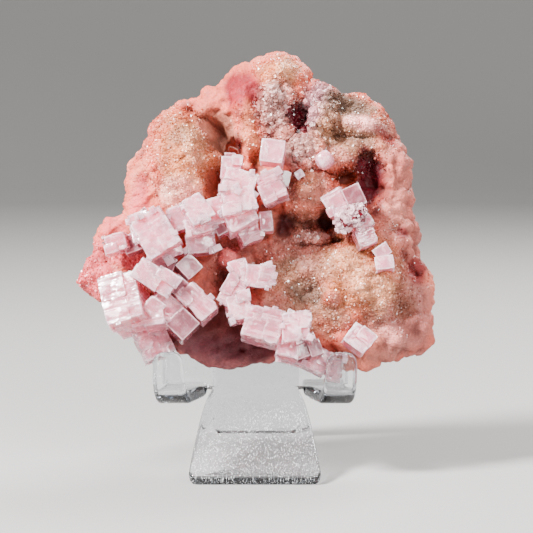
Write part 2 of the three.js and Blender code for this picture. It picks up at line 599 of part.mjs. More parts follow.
// A ledge with its lip, on the right for side 1 and on the left for side -1.
function ledgeStrip(side) {
  const corners = [
    backrestAt(LEDGE_ROOT_UP),
    backrestAt(LEDGE_UP),
    [LIP_FORWARD, LEDGE_UP],
    [LIP_FORWARD, LIP_TOP],
  ];
  const path = bentPath(corners, [BENDS.ledge, BENDS.ledge]);
  const length = path.getLength();
  const stations = stationsOn(path);
  const root = LEDGE_ROOT_UP - LEDGE_UP;
  const edges = (at) => {
    const share = THREE.MathUtils.clamp((at - root) / (length - root), 0, 1);
    const pull = cornerPull(length - at);
    const inward = THREE.MathUtils.smoothstep(share, -0.1, 0.9);
    const outward = THREE.MathUtils.smoothstep(share, 0.1, 0.8);
    const inner = THREE.MathUtils.lerp(LEDGE_EDGES[0], LIP_EDGES[0], inward) + pull;
    const outer = THREE.MathUtils.lerp(LEDGE_EDGES[1], LIP_EDGES[1], outward) - pull;
    return side > 0 ? [inner, outer] : [-outer, -inner];
  };
  const thin = (at) => {
    const grown = THREE.MathUtils.smoothstep(at, root - 6, root + 3);
    return THREE.MathUtils.lerp(ROOT_SHARE, 1, grown);
  };
  return bentStrip(stations, edges, thin);
}

// A block below the floor, which trims both feet flat.
function floorCutter() {
  const block = new THREE.BoxGeometry(200, 200, 20);
  block.translate(0, 0, -10);
  return solidFrom(block);
}

function easelSolid() {
  return joined([mainStrip(), ledgeStrip(-1), ledgeStrip(1)]).subtract(floorCutter());
}

// ---- Assembly ----

function namedMesh(name, solid, finish) {
  const mesh = new THREE.Mesh(geometryFrom(solid), new THREE.MeshStandardMaterial(finish));
  mesh.name = name;
  return mesh;
}

const leftGrown = clusterSolid(LEFT_CLUSTER, GAP);
const chainGrown = clusterSolid(LOWER_CHAIN, GAP);
const cubesGrown = Object.values(CUBES).map((crystals) => clusterSolid(crystals, GAP));
const pits = joined(PITS.map(pitCutter));

const crust = [leftGrown, chainGrown, ...cubesGrown, roundCrystal(GAP)].reduce(
  (left, cutter) => left.subtract(cutter),
  joined([crustSlab().subtract(pits), ...grainSolids()]),
);

const specimen = new THREE.Group();
specimen.rotation.x = Math.PI / 2 - LEAN;
specimen.position.set(...SLAB_ORIGIN);
specimen.add(namedMesh("halite_crust", largestBody(crust), PINK_CRUST));
specimen.add(namedMesh("crystal_left_cluster", clusterSolid(LEFT_CLUSTER), PINK_CLEAR));
specimen.add(namedMesh("crystal_lower_chain", clusterSolid(LOWER_CHAIN), PINK_CLEAR));
specimen.add(namedMesh("crystal_upper_round", roundCrystal(), PINK_CLEAR));
for (const [name, crystals] of Object.entries(CUBES)) {
  specimen.add(namedMesh(name, clusterSolid(crystals), PINK_CLEAR));
}

const object = new THREE.Group();
object.add(specimen);
object.add(namedMesh("acrylic_easel", easelSolid(), ACRYLIC));

// The origin is on the floor under the middle of the whole object.
const bounds = new THREE.Box3().setFromObject(object, true);
const middle = bounds.getCenter(new THREE.Vector3());
object.position.set(-middle.x, -middle.y, -bounds.min.z);

export default object;
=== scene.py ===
"""A pink halite specimen on its clear acrylic easel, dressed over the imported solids."""

import math
from itertools import product

import bpy
import numpy as np
from mathutils import Matrix, Vector


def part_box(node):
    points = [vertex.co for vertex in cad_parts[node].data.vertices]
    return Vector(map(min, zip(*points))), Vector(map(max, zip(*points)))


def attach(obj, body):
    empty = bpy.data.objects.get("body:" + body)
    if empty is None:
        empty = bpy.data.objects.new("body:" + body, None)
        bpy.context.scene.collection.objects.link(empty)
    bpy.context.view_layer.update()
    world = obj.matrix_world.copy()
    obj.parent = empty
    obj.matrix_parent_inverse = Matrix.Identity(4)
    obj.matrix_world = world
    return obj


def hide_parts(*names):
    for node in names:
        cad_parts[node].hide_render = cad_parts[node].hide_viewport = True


bl_info = {
    "name": "Halite specimen on an easel",
    "version": (1, 0, 0),
    "blender": (4, 5, 0),
    "location": "View3D > Sidebar > Specimen",
    "description": "Builds the druzy crust, the crystals, the acrylic easel and the studio",
    "category": "Object",
}

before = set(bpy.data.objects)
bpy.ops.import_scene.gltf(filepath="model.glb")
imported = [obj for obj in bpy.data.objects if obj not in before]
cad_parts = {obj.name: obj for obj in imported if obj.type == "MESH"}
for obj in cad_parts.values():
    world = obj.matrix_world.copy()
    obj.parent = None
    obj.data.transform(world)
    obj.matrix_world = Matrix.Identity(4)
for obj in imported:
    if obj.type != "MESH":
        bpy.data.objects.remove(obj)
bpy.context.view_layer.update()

# ---- Sizes repeated from the solids, in millimetres ----

MM = 0.001
LEAN = math.radians(14)
SLAB_ORIGIN = (0.0, 10.16, 64.4)  # middle of the slab's back
FOOT_EDGE = 25.2435  # the easel's front edge, in front of the point under the backrest

CRUST_BODY = 13.0  # thickness between the mounds
CRUST_MIDDLE = 7.0  # how far out the rim's widest line lies
BACK_CLEAR = 0.6  # least gap between the crust's back and the backrest
FACE_SHARE = 0.965  # share of the outline where the faces end and the rim begins
BANK = 0.7  # width of the bank on a scarp's upper side
THINNEST = 4.5
RIM_FALL = (36.0, 0.55)  # where the front starts to fall off on the right, and how steeply

# The slab's outline as (across, up), anticlockwise from the right.
OUTLINE = np.array([
    (41.4, 0.8), (42.4, 7.5), (41.8, 14.8), (40.2, 16.4), (38.6, 20.8), (34.7, 26.9), (32, 29.6),
    (28.7, 32.3), (24.1, 33.2), (18.2, 35.9), (14.2, 36.3), (13.6, 39.6), (10.9, 42), (7.9, 44.4),
    (5.5, 44.5), (-0.3, 42.3), (-5.6, 39.6), (-8.8, 35.8), (-12.6, 34.4), (-14.9, 31.2),
    (-19.4, 30.1), (-24, 27.1), (-27.6, 24.4), (-28.9, 20.8), (-31.9, 14.8), (-33, 8.9),
    (-33.4, 2.2), (-35.1, -0.5), (-39, -1.2), (-40.8, -5.2), (-41.6, -9.8), (-44.5, -11.8),
    (-46.7, -17.7), (-44, -19.6), (-40.6, -21.7), (-35.5, -25), (-31, -29.5), (-26, -33.5),
    (-21.2, -35.4), (-18.5, -36.8), (-12, -39.4), (-5.5, -39.9), (1, -38.8), (5.5, -37.2),
    (11.8, -37.4), (19.6, -38.8), (25.5, -39.4), (29, -40.2), (33.5, -38.1), (38.7, -36.4),
    (44.6, -35.5), (45.8, -32.8), (45.3, -25.6), (46.4, -19.1), (46.5, -15.7), (44.1, -13.4),
    (42.8, -9.8), (43.3, -4.5),
])

# Mounds and hollows: across, up, half width, half height, turn in degrees, rise.
MOUNDS = [
    (-20.5, 13, 11, 14, 15, 8),  # upper left lobe
    (-16.5, 9, 6, 6, 0, 2),
    (-24.5, 19, 5, 4, 30, -1.6),
    (-9.2, 21.2, 4.4, 7.4, 34, -5.5),
    (-10.6, 8, 2.8, 4.6, 10, -3),
    (-30.5, 8, 2, 7, -8, -2.2),
    (3.5, 35.5, 9, 7, 20, 7.5),  # top lobe
    (6.5, 38.5, 4, 3, 0, 2),
    (-2.4, 23, 2.6, 8, 4, 4.5),  # ridge beside the cleft
    (-5, 31, 5, 5, 0, 2.5),
    (9, 26.5, 8, 9, 0, 4.5),  # frosted knoll round the upper pit
    (12.5, 16.6, 4.6, 4.2, 0, 4.5),
    (20.6, 21, 4.6, 3.8, 0, -4.6),
    (27.6, 21, 3.4, 1.5, -8, -3.5),
    (28.6, 24.4, 6.6, 2, -14, 3.4),
    (25.6, 29, 5, 3, -28, -3.2),
    (17, 28, 3.6, 7, -16, 2.2),
    (31.3, 25.4, 3.4, 2.6, -40, 2.4),
    (21.5, 14.8, 5, 3.2, -20, 2.4),
    (13.8, 6.4, 6.2, 5.2, 0, 7),  # middle mound above the cave
    (13.5, -2.6, 10.5, 4.6, 0, -3.6),
    (14, -5.6, 4.4, 1.6, 0, 2.8),  # granular ledge in the cave
    (21.5, -7.6, 3, 3, 0, -3),
    (25, 8, 6, 4, -30, -3.5),
    (25, -19, 16, 11, -10, 6.5),  # lower right mound
    (13.6, -21.2, 7, 4, -14, -4.2),
    (19.6, -22.6, 2, 2, 0, 3.4),
    (33, -13.5, 4, 7, 10, 1.5),
    (37.9, -5.8, 4.4, 6, 0, 2.6),  # lumps of the right rim
    (36.5, 12, 3.6, 9, -6, 2),
    (38.4, -24.6, 3.6, 4, 0, -3.4),
    (33.4, -26.4, 2.6, 3.2, -30, 2.2),
    (41.5, -30, 4.6, 4.2, 20, 2.6),
    (43, -14.5, 2.4, 3, 0, -2),
    (40.6, 4, 3, 4.4, 0, 2.4),
    (39.4, 16, 2.4, 4, -10, 2.2),
    (34.6, 22, 2.6, 2, -40, -2.2),
    (33.4, -30.5, 3, 3, 0, -2),
    (30, -35.2, 3.2, 2.4, 20, 2.6),
    (35.6, -31.6, 2.4, 3.6, 20, 3),
    (-6.5, -32, 12, 7, 0, -2.2),  # shaded underside
    (-8.4, -15.4, 3.4, 6, -18, -4.4),  # dark hollow between the clusters
    (-6.9, -11.4, 2.1, 2.3, 0, 8.5),  # the bud in it
    (-36, -10, 4.5, 3, -12, -2.5),
    (-28.5, -19, 3, 3, 0, -2.5),
    (-41.5, -16, 4, 5, 0, -1.5),
]

# Scarps: the ground on the left of each line is cut down at the line: points, drop, reach, and the
# share of the drop at the line's two ends.
SCARPS = [
    ([(-3.1, 13.6), (-3.9, 16.1), (-6.8, 20.8), (-8.6, 24), (-13, 26.8), (-18.4, 28.8)], 12, 8, 1, 0.25),
    ([(19.6, 2.4), (16.4, 0.5), (12.5, -1.3), (8.1, 0.5), (4.8, 2)], 4.4, 7, 0.6, 0.7),
    ([(20.4, -6.6), (16, -7.8), (10.5, -7.6)], 3.1, 2.4, 0.8, 0.4),
    ([(26.5, 13), (23, 12.7), (21.1, 11.1), (17, 12.5), (13.5, 11.8)], 7.2, 4, 0.7, 0.5),
    ([(6.5, -34.6), (-1.5, -32), (-3.6, -26.6), (-8.6, -23), (-13.5, -27.5)], 7.8, 9, 0.5, 0.6),
]

# Pits: across, up, half width, half height, turn in degrees, depth.
PITS = [
    (11.2, 25, 3.6, 5.8, 12, 6),
    (30, 10, 4.6, 8.4, 6, 6),
    (7.2, -3.6, 2.6, 2.8, 0, 3),
    (18.4, -2, 2.6, 2.4, 0, 3),
    (23.6, 10.8, 3.6, 2.4, 10, 4.5),
    (-5.5, 18.2, 1.9, 2.8, 30, 5),
    (38.9, -10.8, 1.2, 1.1, 0, 2.5),
    (42.4, -15, 1.4, 1.7, 0, 2.5),
    (-3.4, -35.3, 1, 0.9, 0, 2),
]

# Crystals: middle of the front face, size, turn, tip forward and sideways, smaller blocks, habit.
CRYSTALS = {
    "crystal_left_cluster": [
        ((-25.7, -6.7, 26), (9.2, 10.8, 10), 31, (2, -4), 2, "frosted"),
        ((-36.1, -8.5, 20.5), (5.7, 4.6, 7), 13, (0, -10), 1, "lines"),
        ((-34.2, -23.3, 24.5), (9.5, 12.8, 13), 12, (-13, -14), 2, "lines"),
        ((-25.5, -18.5, 26), (11.2, 5.9, 10), -33, (4, 4), 2, "streaked"),
        ((-16.8, -15.1, 22.8), (5.4, 5.2, 8), -47, (0, 8), 0, "plain"),
        ((-14.7, -24.2, 23.5), (9.7, 5.9, 9), -47, (-4, 0), 1, "lines"),
        ((-18.5, -29.9, 22.6), (6.5, 6.5, 8), -44, (-3, 3), 0, "plain"),
        ((-26, -33.8, 17), (8.4, 8.6, 9), 24, (-2, 4), 2, "frosted"),
        ((-23, -25.7, 23), (7.6, 7, 9), -38, (6, 8), 1, "lines"),
        ((-28, -27.2, 23), (8.4, 6.6, 9), 10, (-8, -6), 1, "lines"),
        ((-21.6, -10.8, 22), (5.7, 4.4, 8), 28, (0, 4), 0, "frosted"),
        ((-29.6, -4.6, 22), (5.6, 7.6, 8), 16, (0, -6), 0, "frosted"),
        ((-31.4, -8.2, 18.5), (6, 5, 6), 20, (0, -4), 0, "plain"),
        ((-23.4, -14.4, 22), (6, 5, 7), -20, (0, 0), 0, "plain"),
        ((-19.4, -20.4, 21.5), (6, 5, 7), -40, (0, 0), 0, "plain"),
        ((-14.8, -0.5, 26), (6.2, 7.2, 9), 33, (-8, 10), 2, "streaked"),
        ((-14.6, -4.7, 24.6), (6.6, 4.4, 8), 14, (-6, 0), 0, "streaked"),
        ((-19.4, -2.2, 22.4), (5.6, 6.6, 7), 22, (0, 0), 0, "frosted"),
        ((-13.9, -8.8, 20.8), (7.7, 5.2, 8), 8, (0, 6), 0, "frosted"),
        ((-9.6, -1, 24), (5.7, 7.2, 9), 14, (4, -6), 0, "frosted"),
        ((-8.8, -5.4, 22.6), (3.1, 3.1, 7), 30, (0, 0), 0, "plain"),
        ((-6.3, 10.4, 23.9), (5.3, 5.8, 8), -4, (2, -2), 1, "rings"),
        ((-6.5, 13.4, 22.4), (3.1, 2.6, 6), -3, (0, 0), 0, "plain"),
        ((-3.8, 6.4, 26), (8.6, 6.2, 9), -14, (0, 6), 1, "streaked"),
        ((-4, 1.7, 26.4), (8.8, 6.4, 9), 12, (-6, 4), 1, "streaked"),
        ((-3.8, -1.9, 25), (8.2, 6.6, 9), 27, (-8, 4), 1, "frosted"),
        ((4.2, 5.3, 25.6), (6.5, 7.6, 9), 23, (0, -4), 2, "lines"),
        ((7.9, 7.8, 22), (2.8, 4.4, 7), -12, (0, 10), 0, "plain"),
        ((-1.3, -5.8, 20.8), (5.7, 5.9, 8), 24, (0, 8), 1, "lines"),
        ((2.9, -3, 20.8), (3.6, 5.4, 7), 6, (0, 0), 0, "rings"),
    ],
    "crystal_lower_chain": [
        ((-3.9, -16.2, 21.6), (5, 6.2, 8), 16, (0, 0), 1, "streaked"),
        ((1.2, -17.6, 22.4), (7.4, 5.8, 8), -7, (4, 6), 2, "frosted"),
        ((-5.9, -21.6, 21.6), (5, 8, 9), -32, (0, -6), 2, "lines"),
        ((-4, -25.6, 22.4), (6, 6.8, 8), 14, (-4, 4), 1, "streaked"),
        ((2, -29.8, 22.4), (9.5, 8.4, 10), -15, (-7, 0), 2, "lines"),
        ((10.6, -30.8, 23.6), (7.2, 7.6, 9), 3, (-5, 6), 2, "frosted"),
        ((8.5, -35.7, 21.8), (5.8, 5.4, 8), -12, (-4, 0), 1, "frosted"),
        ((13, -35.4, 21), (6.6, 6, 8), 20, (-4, 4), 1, "plain"),
        ((9.3, -38.1, 18.6), (7.2, 3.3, 8), -14, (0, 0), 0, "frosted"),
        ((16, -38.7, 16.6), (6.7, 6.2, 8), -26, (0, 4), 1, "streaked"),
        ((20.4, -40.9, 14.5), (4.1, 6.4, 7), -10, (0, 0), 0, "frosted"),
    ],
    "crystal_upper_cube": [((4.5, 14.8, 24.4), (6.2, 6.2, 7), -9, (-3, -3), 0, "rings")],
    "crystal_upper_small": [((11.5, 9.2, 21), (2.4, 2.4, 5), 32, (0, 0), 0, "rings")],
    "crystal_right_cluster": [
        ((20.8, 2.2, 21.4), (6, 5.8, 7), 30, (0, -10), 1, "lines"),
        ((25.6, 3.1, 22.6), (5.2, 6, 7), 24, (0, 0), 0, "plain"),
        ((24, -2, 22.2), (6.8, 6, 7), 12, (0, 0), 1, "frosted"),
        ((27.4, -3.2, 21.4), (5.4, 5.8, 7), 40, (0, 0), 1, "frosted"),
        ((28.8, -7, 21.2), (5.2, 5, 6), 22, (-4, 6), 0, "lines"),
    ],
    "crystal_right_cube": [
        ((33.4, -13.9, 21.6), (5, 3.7, 6), 7, (-8, 0), 0, "rings"),
        ((32.8, -11, 20.8), (4.6, 3.4, 6), 32, (10, 0), 0, "rings"),
    ],
    "crystal_lower_right_cube": [((27, -33.4, 20.6), (6.7, 6, 7), -38, (-4, 4), 1, "rings")],
}
ROUND_CRYSTAL = ((18.2, 13.4, 17.6), (4.8, 5.0, 5.2), 36)

# ---- Colours ----

SALMON = "#DA6450"  # the crust's waxy rims
PEACH = "#EC8670"  # their paler patches
SAND = "#AC785E"  # greyer sugary grains on the right
TAN = "#BC6E48"  # sugary grains on the lobes
CREAM = "#DE9C78"  # the palest sugary grains
BLUSH = "#FAAEA4"  # pale pink ridges
OLIVE = "#806050"  # olive stains in the hollows
SHADED_UMBER = "#5A4234"  # the darkest of the stains, in the upper right hollow, deepened with painted shade
ROSE = "#A9655A"  # dull pink between the lobes
GREY = "#AE8078"  # frosted granular patches
MAGENTA = "#8E242A"  # smooth red hollows at the top and the right
PLUM = "#5C0E1A"  # the two deep pits
MAROON = "#8A3A30"  # red cracks, and the shaded side of the deep hollows
ORANGE = "#CC5C4A"  # smooth flesh of the crust between the crystals
RUST = "#8C3320"  # clay in the small hollows
SHADED_UNDERSIDE = "#6A383E"  # concave underside: its dusky colour darkened as painted shade, as it faces down
DUSK = "#BC6A6A"  # the underside's lower rim
HOLLOW_SHADE = "#561812"  # painted shade: the deep red that all hollows and crevices darken to
PIT_SHADE = "#420A08"  # painted shade: near black in the two pits in the cave and the pit in the cleft
BUD = "#E87C78"  # the round bud between the crystals
CORAL = "#DE5A60"  # granular pink of the left tip and rim
WALL = "#DC866F"  # lit side of the cleft
BROWN = "#9A5E4C"  # smooth walls of the cleft
LILAC = "#C8949C"  # granular halite round the upper pit
PALE = "#D2A8AE"  # the clots of clear grains
SHADE = "#BE7A72"  # waxy rim on the right, its colour darkened as painted shade where the light falls off
MILK = "#FFB4C2"  # the crystals' own pink
INSIDE = "#FAB8BE"  # what light takes on inside them
CLOUD = "#EC8C9E"  # deeper pink clouds in them
DULLED = "#7C464E"  # crystals full of clay
WHITEST = "#FFE0E6"  # growth zones and veils, and the painted highlight on the edges and face rims
CLAY = "#7A2E3C"  # specks between the growth zones
CLEAR = "#FFFFFF"  # the acrylic's faces
SHEET_EDGE = "#B4BCC6"  # the acrylic seen through its edge
PAPER = "#959391"  # the floor
STUDIO_AIR = "#F1F0EE"  # the even light all round

# Stains of the crust: colour, across, up, half width, half height, turn in degrees, strength.
STAINS = [
    # The right rim: its waxy colour, darkened as painted shade where the light falls off to the right.
    (SHADE, 40, 2, 9, 26, -4, 0.55),
    (SHADE, 38, -27, 10, 12, 10, 0.8),
    (TAN, -17.5, 14.5, 8.2, 13, 18, 0.95),
    (CREAM, -16, 18, 3.4, 6, 10, 0.7),
    (OLIVE, -20, 20, 3.2, 3.4, 20, 0.5),
    (CREAM, -19, 5, 6, 4.6, 0, 0.9),
    # Painted light: paler below the lobe, to lift the crystals' shadow there.
    (BLUSH, -20, 4.6, 6, 4, 0, 0.5),
    (BROWN, -9.2, 21.6, 4.6, 8, 36, 0.95),
    (WALL, -12.4, 23.9, 3, 3, 36, 0.9),
    # Painted shade in the pit at the cleft's foot.
    (PIT_SHADE, -5.4, 17.6, 2.5, 2.9, 0, 1),
    (BROWN, -10.6, 8, 3, 4.6, 10, 0.75),
    (ORANGE, -29.4, 4.5, 2.2, 8, -6, 0.9),
    (CORAL, -30.4, 3.4, 2.8, 7, -6, 0.7),
    (CORAL, -37.3, -3.5, 4, 5.5, 0, 0.6),
    (ROSE, 36, 16.6, 3, 4, 0, 0.5),
    (ROSE, 32.5, -36.6, 5, 3, 0, 0.6),
    (TAN, 5.5, 36.5, 6.6, 5, 15, 0.85),
    (CREAM, 8.5, 38.5, 3.4, 3.4, 15, 0.7),
    (MAGENTA, -3.2, 32.4, 5.6, 6.4, 20, 1),
    (TAN, -1.4, 21, 2, 8, 6, 0.6),
    (TAN, 0.4, 17, 2, 4, 6, 0.7),
    (GREY, 5.8, 26.5, 5, 8.4, 0, 0.9),
    (LILAC, 16.6, 27.6, 5, 8, -14, 0.85),
    (GREY, 12, 16.6, 5.4, 5, 0, 0.95),
    (SAND, 25, 22, 10, 10.5, 0, 0.95),
    # The upper right hollow: olive stains, deepened with painted shade.
    (OLIVE, 24.8, 29, 7, 4.2, -18, 0.9),
    (SHADED_UMBER, 24, 29.8, 5.4, 3.2, -18, 0.7),
    (OLIVE, 20.6, 20.8, 4, 3, 0, 0.4),
    (CREAM, 18, 22, 3, 2.8, 0, 0.5),
    (OLIVE, 27.6, 20.6, 3.4, 1.4, -8, 0.6),
    (BLUSH, 28.8, 24, 6.4, 2.2, -14, 1),
    (ROSE, 22, 15, 5, 3, -20, 0.7),
    (MAGENTA, 34, 21, 4, 1.6, -40, 0.7),
    (ROSE, 13.5, 7, 6.8, 5.6, 0, 0.9),
    (BROWN, 13.5, 6.5, 6, 5, 0, 0.7),
    (TAN, 12.5, 8, 4, 3.2, 0, 0.3),
    (BROWN, 13.2, -3.4, 9.8, 5.4, 0, 0.85),
    (WALL, 13.3, -2.4, 3.4, 2.4, 0, 0.5),
    (GREY, 14.6, -5.9, 5, 1.7, 0, 0.9),
    # Painted shade in the cave's two pits.
    (PIT_SHADE, 7.6, -3.4, 3.2, 4.2, 0, 1),
    (PIT_SHADE, 18.8, -1, 2.8, 2.8, 0, 0.9),
    (MAROON, 19.4, -8.4, 2.2, 3.4, 10, 0.8),
    (MAROON, 26, -2, 6, 7, 0, 0.6),
    (ROSE, 10, -11, 13, 6, -10, 0.8),
    (TAN, 27, -17, 12, 12, -20, 0.95),
    (CREAM, 24, -12, 5, 4, -20, 0.5),
    (CREAM, 30, -19, 7, 5, -30, 0.6),
    (OLIVE, 15, -15, 8, 4.6, -10, 0.55),
    (SAND, 15, -27, 11, 5, -15, 0.85),
    (SAND, 7.5, -20, 8, 7, -15, 0.8),
    (TAN, 4.5, -21.5, 4, 2.6, -15, 0.6),
    (BLUSH, 4.8, -23, 4, 3.2, 0, 0.3),
    (OLIVE, 13, -20.6, 5.4, 3.4, -10, 0.9),
    (RUST, 19, -23, 1.8, 2, 0, 0.6),
    (ROSE, 20.6, -23, 1.8, 1.8, 0, 0.7),
    (OLIVE, 31, -27, 4, 3, 20, 0.5),
    (BROWN, 38.6, -25, 3.4, 3.8, 20, 0.9),
    (MAROON, 41, -29, 3.6, 4, 0, 0.4),
    (ORANGE, 18.5, -30, 4.4, 2.2, -30, 0.3),
    (MAGENTA, 42.5, -14.5, 3, 3.6, 0, 0.85),
    (MAGENTA, 38.6, -5, 2, 1.6, 0, 0.8),
    (PLUM, 11.2, 25, 3.7, 5.8, 12, 1),
    (PLUM, 30, 10, 5.2, 9, 6, 1),
    (MAROON, 35, 8, 2.6, 6, -10, 0.5),
    (RUST, 23.6, 10.8, 3.8, 2.6, 10, 0.85),
    (RUST, -8.6, -13.6, 4.6, 6.4, -18, 0.5),
    (ROSE, -6, -15, 7, 10, -18, 0.7),
    (BUD, -6.9, -11.2, 2.6, 2.8, 0, 1),
    (CORAL, -33, -11.8, 5, 3, -12, 0.95),
    (ORANGE, -28.4, -18.6, 3.6, 3.4, 0, 0.9),
    (CORAL, -42.5, -14, 6.5, 9, 0, 0.9),
    (DUSK, -6.5, -37.5, 18, 6, 0, 0.9),
    # Painted shade over the concave underside, which faces down.
    (SHADED_UNDERSIDE, -6.5, -32, 16.5, 9, 0, 0.95),
    (MAROON, -7.5, -27, 9, 4.6, 5, 0.4),
    (PLUM, -3.4, -35.3, 1, 0.9, 0, 0.8),
    (MAROON, 38.9, -10.8, 1.5, 1.4, 0, 0.9),
    (RUST, 2, -13.5, 2.4, 5, 20, 0.5),
]

# Where grains grow: across, up, half width, half height, turn in degrees, grains per mm2.
DRUSE = [
    (-18, 14, 10.5, 15, 18, 3.4),
    (6.5, 36, 8, 7, 15, 2.6),
    (-2, 23, 4, 11, 0, 1.6),
    (25, 21.5, 12, 12, 0, 3.4),
    (13.5, 6, 8, 7, 0, 3),
    (14, -4, 9, 4, 0, 2),
    (22, -17, 21, 15, -10, 3.6),
    (31, -2, 7, 7, 0, 1.6),
    (-8, -13, 5, 7, 0, 1.2),
    (-33, -12, 5, 3, -12, 2),
    (-44, -16.5, 5, 6, 0, 1.6),
]
FROST = [  # clearer and bigger grains, round the upper pit and in the cave
    (5.8, 26.5, 6, 9, 0, 3.4),
    (16.4, 27.6, 6, 8.4, -14, 3.4),
    (13.4, 16.4, 4.4, 5.4, 0, 4),
    (14, -5.8, 5, 1.9, 0, 4),
]
CLEFT = (-9.2, 21.6, 3.8, 7.4, 36)
BARE = [  # smooth walls and hollows where no grains grow
    CLEFT,
    (-3.4, 33, 4.2, 4.8, 20),
    (7.4, -3.4, 3, 3.6, 0),
    (18.8, -1.4, 2.8, 2.8, 0),
    (-10.6, 8, 2.4, 4.4, 10),
]
UNDERSIDE = (-6.5, -32, 15, 8.6, 0)  # smoother than the rest
CLOTS = [  # clots of grains on the right cluster: middle, radii, count
    ((26, -1.4, 21.5), (3.1, 3.3, 2), 260),
    ((23, -3.6, 21.9), (2.5, 2.9, 1.7), 170),
]
RIMS = [  # few and small grains on the waxy rims
    (-41, -14, 7.5, 9, 0, 1.6),
    (-30, 14, 3, 16, 12, 0.4),
    (36, -26, 7, 8, 0, 0.4),
]


def linear(hex_colour):
    """The linear RGBA of an sRGB hex colour."""
    parts = [int(hex_colour[i : i + 2], 16) / 255 for i in (1, 3, 5)]
    return tuple(p / 12.92 if p <= 0.04045 else ((p + 0.055) / 1.055) ** 2.4 for p in parts) + (1.0,)


# ---- Settings ----


class CrustSettings(bpy.types.PropertyGroup):
    """The druzy crust."""

    lumps: bpy.props.FloatProperty(
        name="Lumps",
        description="Height of the knobbly relief, in millimetres",
        default=0.6,
        min=0,
        max=2,
    )
    grain: bpy.props.FloatProperty(
        name="Grain",
        description="Usual side of the druse's grains, in millimetres",
        default=0.36,
        min=0.2,
        max=1,
    )
    glow: bpy.props.FloatProperty(
        name="Glow",
        description="Share of the light that sinks into the crust",
        default=0.3,
        min=0,
        max=1,
        subtype="FACTOR",
    )


class CrystalSettings(bpy.types.PropertyGroup):
    """The halite cubes."""

    colour: bpy.props.FloatVectorProperty(
        name="Colour",
        description="Colour of the milky halite",
        size=4,
        subtype="COLOR",
        default=linear(MILK),
    )
    absorbed: bpy.props.FloatVectorProperty(
        name="Depth colour",
        description="Colour that light takes on inside",
        size=4,
        subtype="COLOR",
        default=linear(INSIDE),
    )
    clear: bpy.props.FloatProperty(
        name="Clearness",
        description="Share of the light that passes straight in",
        default=0.55,
        min=0,
        max=1,
        subtype="FACTOR",
    )
    edge: bpy.props.FloatProperty(
        name="Edge radius",
        description="Roundness of the crystals' edges",
        default=0.22 * MM,
        min=0,
        unit="LENGTH",
    )


class EaselSettings(bpy.types.PropertyGroup):
    """The acrylic easel."""

    tint: bpy.props.FloatVectorProperty(
        name="Tint",
        description="Colour of the sheet seen through its edge",
        size=4,
        subtype="COLOR",
        default=linear(SHEET_EDGE),
    )
    round_edge: bpy.props.FloatProperty(
        name="Edge radius",
        description="Radius of the polished edges",
        default=1.15 * MM,
        min=0,
        unit="LENGTH",
    )


class StageSettings(bpy.types.PropertyGroup):
    """The studio."""

    floor: bpy.props.FloatVectorProperty(
        name="Floor",
        description="Colour of the floor",
        size=4,
        subtype="COLOR",
        default=linear(PAPER),
    )
    key: bpy.props.FloatProperty(
        name="Key light", description="Power of the key light, in watts", default=37.0, min=0
    )


def settings():
    """The scene's settings of the specimen."""
    return bpy.context.scene.specimen


class Specimen(bpy.types.PropertyGroup):
    """All settings of the specimen."""

    crust: bpy.props.PointerProperty(type=CrustSettings)
    crystals: bpy.props.PointerProperty(type=CrystalSettings)
    easel: bpy.props.PointerProperty(type=EaselSettings)
    stage: bpy.props.PointerProperty(type=StageSettings)


# ---- Numbers over many points ----


def smoothstep(x, low, high):
    """0 below `low`, 1 above `high`, and a smooth rise between them."""
    share = np.clip((x - low) / (high - low), 0, 1)
    return share * share * (3 - 2 * share)


def lattice_random(cells, seed):
    """Numbers from 0 to 1 for whole-numbered places, the same on every run."""
    across, up, out = cells.T
    key = across * 73856093 ^ up * 19349663 ^ out * 83492791 ^ seed * 2654435761
    key = (key ^ key >> 13) * 1274126177 & 0x7FFFFFFF
    key = (key ^ key >> 15) * 668265263 & 0x7FFFFFFF
    return (key ^ key >> 14 & 0x7FFFFFFF) % 65536 / 65535


def noise(places, size, seed):
    """Smooth noise from -1 to 1, with lumps about `size` wide."""
    scaled = places / size
    cells = np.floor(scaled).astype(np.int64)
    share = scaled - cells
    share = share * share * (3 - 2 * share)
    total = np.zeros(len(places))
    for corner in product((0, 1), repeat=3):
        weight = np.prod(np.where(corner, share, 1 - share), axis=1)
        total += weight * lattice_random(cells + corner, seed)
    return 2 * total - 1


def knobs(places, size, seed):
    """Rounded knobs `size` apart, from 1 on their tops to 0 or less between them."""
    scaled = places / size
    cells = np.floor(scaled).astype(np.int64)
    nearest = np.full(len(places), np.inf)
    for step in product((-1, 0, 1), repeat=3):
        at = cells + step
        spot = at + np.stack([lattice_random(at, seed + i) for i in range(3)], 1)
        nearest = np.minimum(nearest, ((scaled - spot) ** 2).sum(1))
    return 1 - nearest * 1.6


def oval_distance(x, y, cx, cy, half_width, half_height, turn):
    """How far points lie from an oval's middle: 1 on its outline."""
    c, s = math.cos(math.radians(turn)), math.sin(math.radians(turn))
    along = ((x - cx) * c + (y - cy) * s) / half_width
    across = ((y - cy) * c - (x - cx) * s) / half_height
    return np.hypot(along, across)


def to_row(places):
    """Slab places (across, up, out of the slab) in millimetres, as row places in metres."""
    low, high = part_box("acrylic_easel")
    aside = (low.x + high.x) / 2 / MM
    away = low.y / MM + FOOT_EDGE
    across, up, out = np.asarray(places, float).T
    y = SLAB_ORIGIN[1] + up * math.sin(LEAN) - out * math.cos(LEAN) + away
    z = SLAB_ORIGIN[2] + up * math.cos(LEAN) + out * math.sin(LEAN)
    return np.stack([across + SLAB_ORIGIN[0] + aside, y, z], 1) * MM


# ---- Meshes ----


